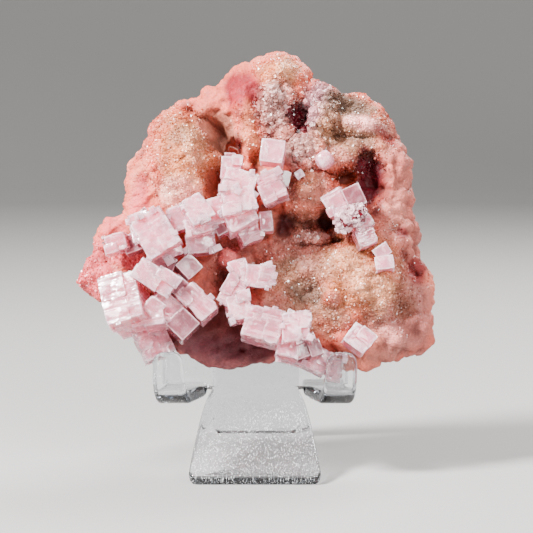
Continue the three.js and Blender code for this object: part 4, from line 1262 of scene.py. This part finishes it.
def milky_halite(chosen):
    """Grown halite: glassy cube faces over a clouded pink body, with whiter growth zones, and rims and edges
    whitened as painted highlight.
    """
    material, tree = new_material("milky_pink_halite")
    edge, zone, dull, streak = (
        add_node(tree, "ShaderNodeAttribute", attribute_name=mark).outputs["Fac"] for mark in MARKS
    )
    places = add_node(tree, "ShaderNodeTexCoord").outputs["Object"]
    cloud, veil, frost = (
        add_node(tree, "ShaderNodeTexNoise", {
            "Vector": places, "Scale": per_metre(size), "Detail": 3.0, "Distortion": distortion,
        }).outputs["Fac"]
        for size, distortion in ((CLOUDS, 0.0), (VEILS, 0.6), (GRIT, 0.0))
    )
    clay = add_node(tree, "ShaderNodeTexVoronoi", {"Vector": places, "Scale": per_metre(CLAY_SPACING)})
    clay = clay.outputs["Distance"]

    # How milky: veils and the rims of the growth zones, whitened as painted highlight, then streaks, faint
    # rings, frost, clay, and the edges, whitened as painted highlight too.
    wander = add_node(tree, "ShaderNodeMath", {0: veil, 1: 0.4}, operation="MULTIPLY")
    outward = add_node(tree, "ShaderNodeMath", {0: zone, 1: wander}, operation="ADD")
    # Painted highlight: a whiter band round the rims of the faces.
    rim = add_node(tree, "ShaderNodeMapRange", {0: outward, 1: 0.95, 2: 1.15})
    rim = add_node(tree, "ShaderNodeMath", {0: rim, 1: 0.75}, operation="MULTIPLY")
    veiled = add_node(tree, "ShaderNodeMapRange", {0: veil, 1: 0.46, 2: 0.85})
    streaks = add_node(tree, "ShaderNodeMath", {0: streak, 1: 0.5}, operation="MULTIPLY")
    growing = add_node(tree, "ShaderNodeMath", {0: zone, 1: 30.0}, operation="MULTIPLY")
    wavy = add_node(tree, "ShaderNodeMath", {0: veil, 1: 6.0}, operation="MULTIPLY")
    rings = add_node(tree, "ShaderNodeMath", {0: growing, 1: wavy}, operation="ADD")
    rings = add_node(tree, "ShaderNodeMath", {0: rings}, operation="SINE")
    rings = add_node(tree, "ShaderNodeMapRange", {0: rings, 1: 0.5, 2: 1.0, 3: 0.0, 4: 0.13})
    frosted = add_node(tree, "ShaderNodeMapRange", {0: frost, 1: 0.35, 2: 0.65, 3: 0.55, 4: 1.15})
    unclouded = add_node(tree, "ShaderNodeMapRange", {0: dull, 3: 1.0, 4: 0.3})
    # Painted highlight: whiter along the crystals' edges.
    edges = add_node(tree, "ShaderNodeMath", {0: edge, 1: 0.6}, operation="MULTIPLY")
    milk_and_highlight = veiled
    for operation, other in (
        ("MAXIMUM", rim),
        ("MAXIMUM", streaks),
        ("ADD", rings),
        ("MULTIPLY", frosted),
        ("MULTIPLY", unclouded),
        ("MAXIMUM", edges),
    ):
        milk_and_highlight = add_node(tree, "ShaderNodeMath", {0: milk_and_highlight, 1: other}, operation=operation)

    # The colour: clouds, clay that dulls, milkiness with its painted highlight, and specks of clay where the
    # clouds are thick.
    clouds = add_node(tree, "ShaderNodeMapRange", {0: cloud, 1: 0.35, 2: 0.65})
    dulled = add_node(tree, "ShaderNodeMath", {0: dull, 1: 0.8}, operation="MULTIPLY")
    whiter = add_node(tree, "ShaderNodeMath", {0: milk_and_highlight, 1: 0.95}, operation="MULTIPLY")
    dots = add_node(tree, "ShaderNodeMapRange", {0: clay, 1: 0.05, 2: 0.09, 3: 1.0, 4: 0.0})
    where = add_node(tree, "ShaderNodeMapRange", {0: cloud, 1: 0.5, 2: 0.56})
    specks = add_node(tree, "ShaderNodeMath", {0: dots, 1: where}, operation="MULTIPLY")
    colour = chosen.colour
    for share, name in ((clouds, CLOUD), (dulled, DULLED), (whiter, WHITEST), (specks, CLAY)):
        mix = {"Factor": share, "A": colour, "B": linear(name)}
        colour = add_node(tree, "ShaderNodeMix", mix, data_type="RGBA").outputs["Result"]

    # How clear and how glossy: less clear in clouds, in the milkiness and its painted highlight, and in
    # specks, and matt on the streaks.
    clear = add_node(tree, "ShaderNodeMapRange", {
        0: cloud, 1: 0.35, 2: 0.65, 3: chosen.clear + 0.12, 4: chosen.clear - 0.14,
    })
    in_milk = add_node(tree, "ShaderNodeMapRange", {0: milk_and_highlight, 3: 1.0, 4: 0.4})
    in_specks = add_node(tree, "ShaderNodeMapRange", {0: specks, 3: 1.0, 4: 0.1})
    for share in (in_milk, in_specks):
        clear = add_node(tree, "ShaderNodeMath", {0: clear, 1: share}, operation="MULTIPLY")
    glossy = add_node(tree, "ShaderNodeMapRange", {0: veil, 1: 0.4, 2: 0.65, 3: 0.06, 4: 0.22})
    rubbed = add_node(tree, "ShaderNodeMath", {0: streak, 1: 0.35}, operation="MULTIPLY")
    matt = add_node(tree, "ShaderNodeMath", {0: glossy, 1: rubbed}, operation="ADD")
    bump = add_node(tree, "ShaderNodeBump", {"Height": frost, "Strength": 0.4, "Distance": 0.08 * MM})
    surface = add_node(tree, "ShaderNodeBsdfPrincipled", {
        "Base Color": colour,
        "Roughness": matt,
        "IOR": HALITE_IOR,
        "Transmission Weight": clear,
        "Subsurface Weight": 0.85,
        "Subsurface Radius": (1.0, 0.75, 0.7),
        "Subsurface Scale": 4 * MM,
        "Normal": bump,
    })
    depth = add_node(tree, "ShaderNodeVolumeAbsorption", {"Color": chosen.absorbed, "Density": 60.0})
    add_node(tree, "ShaderNodeOutputMaterial", {"Surface": surface, "Volume": depth})
    return material


def round_crystal_mesh(name):
    """The crystal above the cave, worn almost to a ball."""
    middle, size, turn = ROUND_CRYSTAL
    places, quads = crystal_block((2, 2, 2), "plain", 900, 0.6)
    spread = places / np.linalg.norm(places, axis=1, keepdims=True)
    rounded = 0.35 * places + 0.65 * spread
    rounded *= np.array(size) / 2 * 1.02
    rounded += 0.1 * noise(rounded, 1.6, 901)[:, None] * spread
    spin = np.array(Matrix.Rotation(math.radians(turn), 3, "Z"))
    return new_mesh(name, rounded @ spin.T + middle, quads)


class SPECIMEN_OT_crystals(bpy.types.Operator):
    """Grows the halite cubes in their clusters"""

    bl_idname = "specimen.crystals"
    bl_label = "Crystals"

    def execute(self, context):
        chosen = settings().crystals
        material = milky_halite(chosen)
        for node, rows in CRYSTALS.items():
            mesh = cluster_mesh(node + "_grown", rows, chosen.edge / MM)
            piece = self.finish(mesh, growth_marks(mesh_places(mesh), rows), material)
            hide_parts(node)
        mesh = round_crystal_mesh("crystal_upper_round_grown")
        marks = np.zeros((4, len(mesh.vertices)))
        marks[MARKS.index("streak")] = ROUND_MILK
        piece = self.finish(mesh, marks, material)
        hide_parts("crystal_upper_round")
        self.finish(*satellites("satellite_cubes", 71), material)
        return {"FINISHED"}

    def finish(self, mesh, marks, material):
        """Makes a crystal mesh a piece, with its growth marks, moved to the row's frame."""
        for mark, values in zip(MARKS, marks):
            add_values(mesh, mark, values)
        set_places(mesh, to_row(mesh_places(mesh)))
        return place_piece(mesh.name, mesh, material, sharp=28)


# ---- Easel ----

# Its side view, in millimetres forward of and above the point under the backrest.
SHEET = 3.2  # thickness
FOOT_TIP = (24.6, 0.5)
FOOT_SLOPE = math.radians(37)
LEDGE_UP = 20.8
BACKREST_FORWARD = -1.25  # at the ledges' height
APEX_UP = 86
REAR_TIP = (-48.2, -0.5)
LIP_FORWARD = 17.6
LIP_TOP = 33.2
LEDGE_ROOT_UP = 29
BEND_TOP, BEND_NECK, BEND_LEDGE = 5, 8, 4.5  # radii

# Its half widths and outlines, seen from the front.
FOOT_HALF, NECK_HALF, BACKREST_HALF, REAR_HALF = 17.25, 11.4, 24.5, 12
FLARE_POWER = 0.62  # how the foot narrows into the neck
STEP_ABOVE_NECK = 1.2
TAPER = (8, 46)  # where the backrest narrows, from the step
LEDGE_EDGES = (12.3, 23.7)
LIP_EDGES = (18.5, 26.3)
CORNER = 3  # radius of the outline's corners

EDGE_ROWS = 7  # rows of mesh round a polished edge
CORNER_ROWS = [0.05, 0.15, 0.3, 0.5, 0.8, 1.2, 1.6, 2, 2.5]  # distances of the rows near a tip
ACROSS = 13  # columns of mesh between the edges
STEP_ROWS = (-0.3, -0.15, 0, 0.15, 0.3)  # rows at the step
GROUND = (200, 200, 20)  # a block under the table's top, which cuts the feet flat

# The foot is handled most, so it is scratched most: heights and places forward where that fades.
FOOT_BELOW, FOOT_FROM = (21, 17), (-2, 4)
HANDLED_LEAST = 0.25  # how scratched the rest is


def bent_path(corners, radii, step):
    """A side-view path with rounded corners: places, directions, and the length up to each."""
    corners = [np.array(corner, float) for corner in corners]
    places, ways = [corners[0]], []
    start = corners[0]
    for i, radius in enumerate(radii, 1):
        into = (corners[i] - corners[i - 1]) / np.linalg.norm(corners[i] - corners[i - 1])
        out = (corners[i + 1] - corners[i]) / np.linalg.norm(corners[i + 1] - corners[i])
        turn = math.atan2(into[0] * out[1] - into[1] * out[0], into @ out)
        begin = corners[i] - into * radius * math.tan(abs(turn) / 2)
        centre = begin + np.array([-into[1], into[0]]) * radius * math.copysign(1, turn)
        count = max(2, math.ceil(np.linalg.norm(begin - start) / step))
        places += [start + (begin - start) * k / count for k in range(1, count + 1)]
        ways += [into] * count
        count = max(6, math.ceil(abs(turn) * radius / (step / 3)))
        for k in range(1, count + 1):
            c, s = math.cos(turn * k / count), math.sin(turn * k / count)
            arm = begin - centre
            places.append(centre + np.array([c * arm[0] - s * arm[1], s * arm[0] + c * arm[1]]))
            ways.append(np.array([c * into[0] - s * into[1], s * into[0] + c * into[1]]))
        start = places[-1]
    out = (corners[-1] - start) / np.linalg.norm(corners[-1] - start)
    count = max(2, math.ceil(np.linalg.norm(corners[-1] - start) / step))
    places += [start + (corners[-1] - start) * k / count for k in range(1, count + 1)]
    ways = [ways[0]] + ways + [out] * count
    places, ways = np.array(places), np.array(ways)
    at = np.concatenate([[0], np.cumsum(np.linalg.norm(np.diff(places, axis=0), axis=1))])
    return places, ways, at


def corner_pull(distance):
    """How far a rounded corner draws the outline in, at a distance from the tip."""
    inside = np.maximum(0, CORNER - distance)
    return CORNER - np.sqrt(np.maximum(0, CORNER**2 - inside**2))


def strip(path, edges, round_edge, tips, extra=()):
    """A closed strip of sheet along a path: `edges(at)` gives its left and right edge, and `tips` says
    which of its two ends are rounded."""
    places, ways, at = path
    length = at[-1]
    near = round_edge * (1 - np.cos(np.linspace(0, math.pi / 2, EDGE_ROWS)))
    tip_rows = np.concatenate([near, CORNER_ROWS])
    rows = np.unique(np.round(np.concatenate([at, tip_rows, length - tip_rows, extra]), 4))
    rows = rows[(rows >= 0) & (rows <= length)]
    rows = rows[np.concatenate([[True], np.diff(rows) > 0.02])]
    rows[-1] = length
    line = np.stack([np.interp(rows, at, places[:, i]) for i in (0, 1)], 1)
    way = np.stack([np.interp(rows, at, ways[:, i]) for i in (0, 1)], 1)
    way /= np.linalg.norm(way, axis=1, keepdims=True)
    left, right = edges(rows)
    middle = np.linspace(0, 1, ACROSS)[1:-1]
    columns = len(near) * 2 + len(middle)
    cells, quads = block_lattice(len(rows) - 1, columns - 1, 1)
    row, column, layer = cells.T
    shares = np.concatenate([np.zeros(len(near)), middle, np.ones(len(near))])
    inset = np.concatenate([near, np.zeros(len(middle)), -near[::-1]])
    low, high = left[row] + round_edge, right[row] - round_edge
    inside = (column >= len(near)) & (column < len(near) + len(middle))
    x = np.where(inside, low + (high - low) * shares[column],
                 np.where(column < len(near), left[row], right[row]) + inset[column])
    side = np.minimum(x - left[row], right[row] - x)
    for tip, distance in zip(tips, (rows, length - rows)):
        if tip:
            side = np.minimum(side, distance[row])
    from_round = round_edge - np.clip(side, 0, round_edge)
    fall = round_edge - np.sqrt(np.clip(round_edge**2 - from_round**2, 0, None))
    thick = (layer * 2 - 1) * (SHEET / 2 - fall)
    forward = line[row, 0] + way[row, 1] * thick
    up = line[row, 1] - way[row, 0] * thick
    return np.stack([x, -forward, up], 1), quads


def backrest_at(up):
    """The place on the leaning backrest at a height."""
    return (BACKREST_FORWARD - (up - LEDGE_UP) * math.tan(LEAN), up)


def neck_corner():
    """Where the sloping foot would meet the backrest if the bend were sharp."""
    rise, lean = math.tan(FOOT_SLOPE), math.tan(LEAN)
    base = FOOT_TIP[1] + (FOOT_TIP[0] - BACKREST_FORWARD - LEDGE_UP * lean) * rise
    return backrest_at(base / (1 - lean * rise))


def main_strip(round_edge):
    """Foot, neck, backrest, top bend and rear leg."""
    neck = neck_corner()
    foot_length = math.dist(neck, FOOT_TIP)
    path = bent_path([FOOT_TIP, neck, backrest_at(APEX_UP), REAR_TIP], [BEND_NECK, BEND_TOP], 1.4)
    ledges = foot_length + STEP_ABOVE_NECK
    length = path[2][-1]

    def edges(at):
        flare = np.maximum(0, 1 - at / foot_length) ** FLARE_POWER
        foot = NECK_HALF + (FOOT_HALF - NECK_HALF) * flare - corner_pull(at)
        taper = smoothstep(at - ledges, *TAPER)
        rest = BACKREST_HALF + (REAR_HALF - BACKREST_HALF) * taper - corner_pull(length - at)
        half = foot + (rest - foot) * smoothstep(at, ledges - 0.3, ledges + 0.3)
        return -half, half

    return strip(path, edges, round_edge, (True, True), [ledges + row for row in STEP_ROWS])


def ledge_strip(side, round_edge):
    """A ledge with its lip, on the right for side 1."""
    corners = [backrest_at(up) for up in (LEDGE_ROOT_UP, LEDGE_UP)]
    corners += [(LIP_FORWARD, up) for up in (LEDGE_UP, LIP_TOP)]
    path = bent_path(corners, [BEND_LEDGE, BEND_LEDGE], 1.2)
    length = path[2][-1]
    root = LEDGE_ROOT_UP - LEDGE_UP

    def edges(at):
        share = np.clip((at - root) / (length - root), 0, 1)
        pull = corner_pull(length - at)
        inner = LEDGE_EDGES[0] + (LIP_EDGES[0] - LEDGE_EDGES[0]) * smoothstep(share, -0.1, 0.9) + pull
        outer = LEDGE_EDGES[1] + (LIP_EDGES[1] - LEDGE_EDGES[1]) * smoothstep(share, 0.1, 0.8) - pull
        return (inner, outer) if side > 0 else (-outer, -inner)

    return strip(path, edges, round_edge, (False, True))


def closed_mesh(name, form):
    """A mesh whose quads face outwards."""
    places, quads = form
    a, b, c, d = (places[quads[:, i]] for i in range(4))
    if (np.cross(c - a, d - b) * (a + b + c + d)).sum() < 0:
        quads = quads[:, ::-1]
    return new_mesh(name, places, quads)


def polished_acrylic(chosen):
    """Clear cast acrylic, laser-cut and flame-polished: near invisible faces, bright round edges, and
    short fine scratches where it is handled."""
    material, tree = new_material("polished_acrylic")
    places = add_node(tree, "ShaderNodeTexCoord").outputs["Object"]
    handled = add_node(tree, "ShaderNodeAttribute", attribute_name="handled").outputs["Fac"]
    scratched = 0.0
    for turn, length, spacing in SCRATCHES:
        spun = add_node(tree, "ShaderNodeMapping", {
            "Vector": places,
            "Rotation": (FOOT_SLOPE, 0, math.radians(turn)),
            "Scale": (per_metre(spacing), per_metre(length), per_metre(3)),
        })
        dashes = add_node(tree, "ShaderNodeTexVoronoi", {"Vector": spun, "Scale": 1.0}).outputs["Distance"]
        lines = add_node(tree, "ShaderNodeMapRange", {0: dashes, 1: 0.08, 2: 0.16, 3: 1.0, 4: 0.0})
        scratched = add_node(tree, "ShaderNodeMath", {0: scratched, 1: lines}, operation="MAXIMUM")
    scratched = add_node(tree, "ShaderNodeMath", {0: scratched, 1: handled}, operation="MULTIPLY")
    dust = add_node(tree, "ShaderNodeTexVoronoi", {"Vector": places, "Scale": per_metre(DUST_SPACING)})
    dust = dust.outputs["Distance"]
    dust = add_node(tree, "ShaderNodeMapRange", {0: dust, 1: 0.06, 2: 0.1, 3: 0.7, 4: 0.0})
    worn = add_node(tree, "ShaderNodeMath", {0: scratched, 1: dust}, operation="MAXIMUM")
    surface = add_node(tree, "ShaderNodeBsdfPrincipled", {
        "Base Color": linear(CLEAR),
        "Roughness": add_node(tree, "ShaderNodeMapRange", {0: worn, 3: 0.02, 4: 0.45}),
        "IOR": ACRYLIC_IOR,
        "Transmission Weight": add_node(tree, "ShaderNodeMapRange", {0: worn, 3: 1.0, 4: 0.1}),
    })
    depth = add_node(tree, "ShaderNodeVolumeAbsorption", {"Color": chosen.tint, "Density": 90.0})
    add_node(tree, "ShaderNodeOutputMaterial", {"Surface": surface, "Volume": depth})
    return material


class SPECIMEN_OT_easel(bpy.types.Operator):
    """Bends the clear acrylic easel"""

    bl_idname = "specimen.easel"
    bl_label = "Easel"

    def execute(self, context):
        chosen = settings().easel
        round_edge = chosen.round_edge / MM
        strips = [closed_mesh("strip", main_strip(round_edge))]
        strips += [closed_mesh("strip", ledge_strip(side, round_edge)) for side in (-1, 1)]
        block, quads = block_lattice(1, 1, 1)
        ground = closed_mesh("ground", ((block - (0.5, 0.5, 1)) * GROUND, quads))
        mesh = combined([combined(strips), ground], "DIFFERENCE")
        mesh.name = "acrylic_easel_polished"
        places = mesh_places(mesh)
        low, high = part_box("acrylic_easel")
        shift = ((low.x + high.x) / 2 / MM, low.y / MM + FOOT_EDGE, 0)
        foot = smoothstep(places[:, 2], *FOOT_BELOW) * smoothstep(-places[:, 1], *FOOT_FROM)
        add_values(mesh, "handled", np.maximum(foot, HANDLED_LEAST))
        set_places(mesh, (places + shift) * MM)
        easel = place_piece(mesh.name, mesh, polished_acrylic(chosen), sharp=38)
        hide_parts("acrylic_easel")
        return {"FINISHED"}


# ---- Studio ----


# Lights: name, place and side in metres, and share of the key light's power.
LIGHTS = (
    ("key", (-0.46, -0.32, 0.55), 0.17, 1),
    ("fill", (0.3, -0.62, 0.42), 0.3, 0.21),
    ("back", (0.3, 0.35, 0.5), 0.3, 0.25),
)
LIT_POINT = (0, -0.01, 0.06)
AIR_STRENGTH = 0.18

# The camera: aside, away and up in millimetres from the point under the backrest, tilt and lens.
CAMERA_PLACE = (3.0, -646.4, 121.4)
CAMERA_TILT = math.radians(84)
LENS, SENSOR = 166.8, 36

# The floor is a bowl, so that it has no horizon: sides, radii in metres, and height of its wall.
BOWL_SIDES = 96
BOWL_FLAT = [0.3, 0.6, 0.9]
BOWL_CURVE = 0.7
BOWL_TOP = (1.6, 1.5)
FLOOR_BELOW = 0.0001


def area_light(name, place, target, size, power):
    """A square soft light that points at a target."""
    light = bpy.data.lights.new(name, "AREA")
    light.size = size
    light.energy = power
    lamp = bpy.data.objects.new(name, light)
    lamp.location = place
    lamp.rotation_euler = (Vector(target) - Vector(place)).to_track_quat("-Z", "Y").to_euler()
    bpy.context.scene.collection.objects.link(lamp)


def matt_paper(colour):
    """Seamless studio paper: matt all over, so it gives soft light back and shows no gloss."""
    material, tree = new_material("matt_paper")
    surface = add_node(tree, "ShaderNodeBsdfPrincipled", {"Base Color": colour, "Roughness": 0.7})
    add_node(tree, "ShaderNodeOutputMaterial", {"Surface": surface})
    return material


def paper_bowl(material):
    """The floor: flat in the middle, and curved up all round."""
    rise = np.linspace(0, math.pi / 2, 17)
    edge = BOWL_FLAT[-1]
    reach = np.concatenate([BOWL_FLAT, edge + BOWL_CURVE * np.sin(rise), BOWL_TOP[:1]])
    height = np.concatenate([[0, 0, 0], BOWL_CURVE - BOWL_CURVE * np.cos(rise), BOWL_TOP[1:]])
    around = np.linspace(0, 2 * math.pi, BOWL_SIDES, endpoint=False)
    rings = [np.outer(reach, np.cos(around)), np.outer(reach, np.sin(around))]
    rings.append(np.outer(height, np.ones(BOWL_SIDES)))
    faces = [tuple(range(BOWL_SIDES))]
    for ring in range(len(reach) - 1):
        for i in range(BOWL_SIDES):
            j = (i + 1) % BOWL_SIDES
            inner, outer = ring * BOWL_SIDES, (ring + 1) * BOWL_SIDES
            faces.append((inner + j, inner + i, outer + i, outer + j))
    mesh = bpy.data.meshes.new("floor")
    mesh.from_pydata(np.stack(rings, -1).reshape(-1, 3).tolist(), [], faces)
    mesh.polygons.foreach_set("use_smooth", np.ones(len(mesh.polygons), bool))
    mesh.materials.append(material)
    floor = bpy.data.objects.new("floor", mesh)
    floor.location.z = -FLOOR_BELOW
    bpy.context.scene.collection.objects.link(floor)


def studio_camera():
    """A long lens in front of the specimen, a little above it."""
    low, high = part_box("acrylic_easel")
    middle = ((low.x + high.x) / 2, low.y + FOOT_EDGE * MM, 0)
    camera = bpy.data.cameras.new("camera")
    camera.sensor_width = SENSOR
    camera.lens = LENS
    viewer = bpy.data.objects.new("camera", camera)
    viewer.location = [start + step * MM for start, step in zip(middle, CAMERA_PLACE)]
    viewer.rotation_euler = (CAMERA_TILT, 0, 0)
    bpy.context.scene.collection.objects.link(viewer)
    bpy.context.scene.camera = viewer


class SPECIMEN_OT_stage(bpy.types.Operator):
    """Sets up the floor, the lights and the camera"""

    bl_idname = "specimen.stage"
    bl_label = "Studio"

    def execute(self, context):
        chosen = settings().stage
        world = bpy.data.worlds.new("pale_studio")
        world.use_nodes = True
        background = world.node_tree.nodes["Background"]
        background.inputs["Color"].default_value = linear(STUDIO_AIR)
        background.inputs["Strength"].default_value = AIR_STRENGTH
        context.scene.world = world
        paper_bowl(matt_paper(chosen.floor))
        for name, place, size, share in LIGHTS:
            area_light(name, place, LIT_POINT, size, chosen.key * share)
        studio_camera()
        return {"FINISHED"}


class SPECIMEN_PT_panel(bpy.types.Panel):
    """The specimen's settings and the steps that build it"""

    bl_idname = "SPECIMEN_PT_panel"
    bl_label = "Halite specimen"
    bl_space_type = "VIEW_3D"
    bl_region_type = "UI"
    bl_category = "Specimen"

    def draw(self, context):
        chosen = context.scene.specimen
        for step in ("crust", "crystals", "easel", "stage"):
            group = getattr(chosen, step)
            box = self.layout.box()
            box.operator(f"specimen.{step}")
            for name in group.__annotations__:
                box.prop(group, name)


CLASSES = (
    CrustSettings,
    CrystalSettings,
    EaselSettings,
    StageSettings,
    Specimen,
    SPECIMEN_OT_crust,
    SPECIMEN_OT_crystals,
    SPECIMEN_OT_easel,
    SPECIMEN_OT_stage,
    SPECIMEN_PT_panel,
)


def register():
    for item in CLASSES:
        bpy.utils.register_class(item)
    bpy.types.Scene.specimen = bpy.props.PointerProperty(type=Specimen)


def unregister():
    del bpy.types.Scene.specimen
    for item in reversed(CLASSES):
        bpy.utils.unregister_class(item)


def main():
    register()
    bpy.ops.specimen.crust()
    bpy.ops.specimen.crystals()
    bpy.ops.specimen.easel()
    bpy.ops.specimen.stage()


if __name__ == "__main__":
    main()
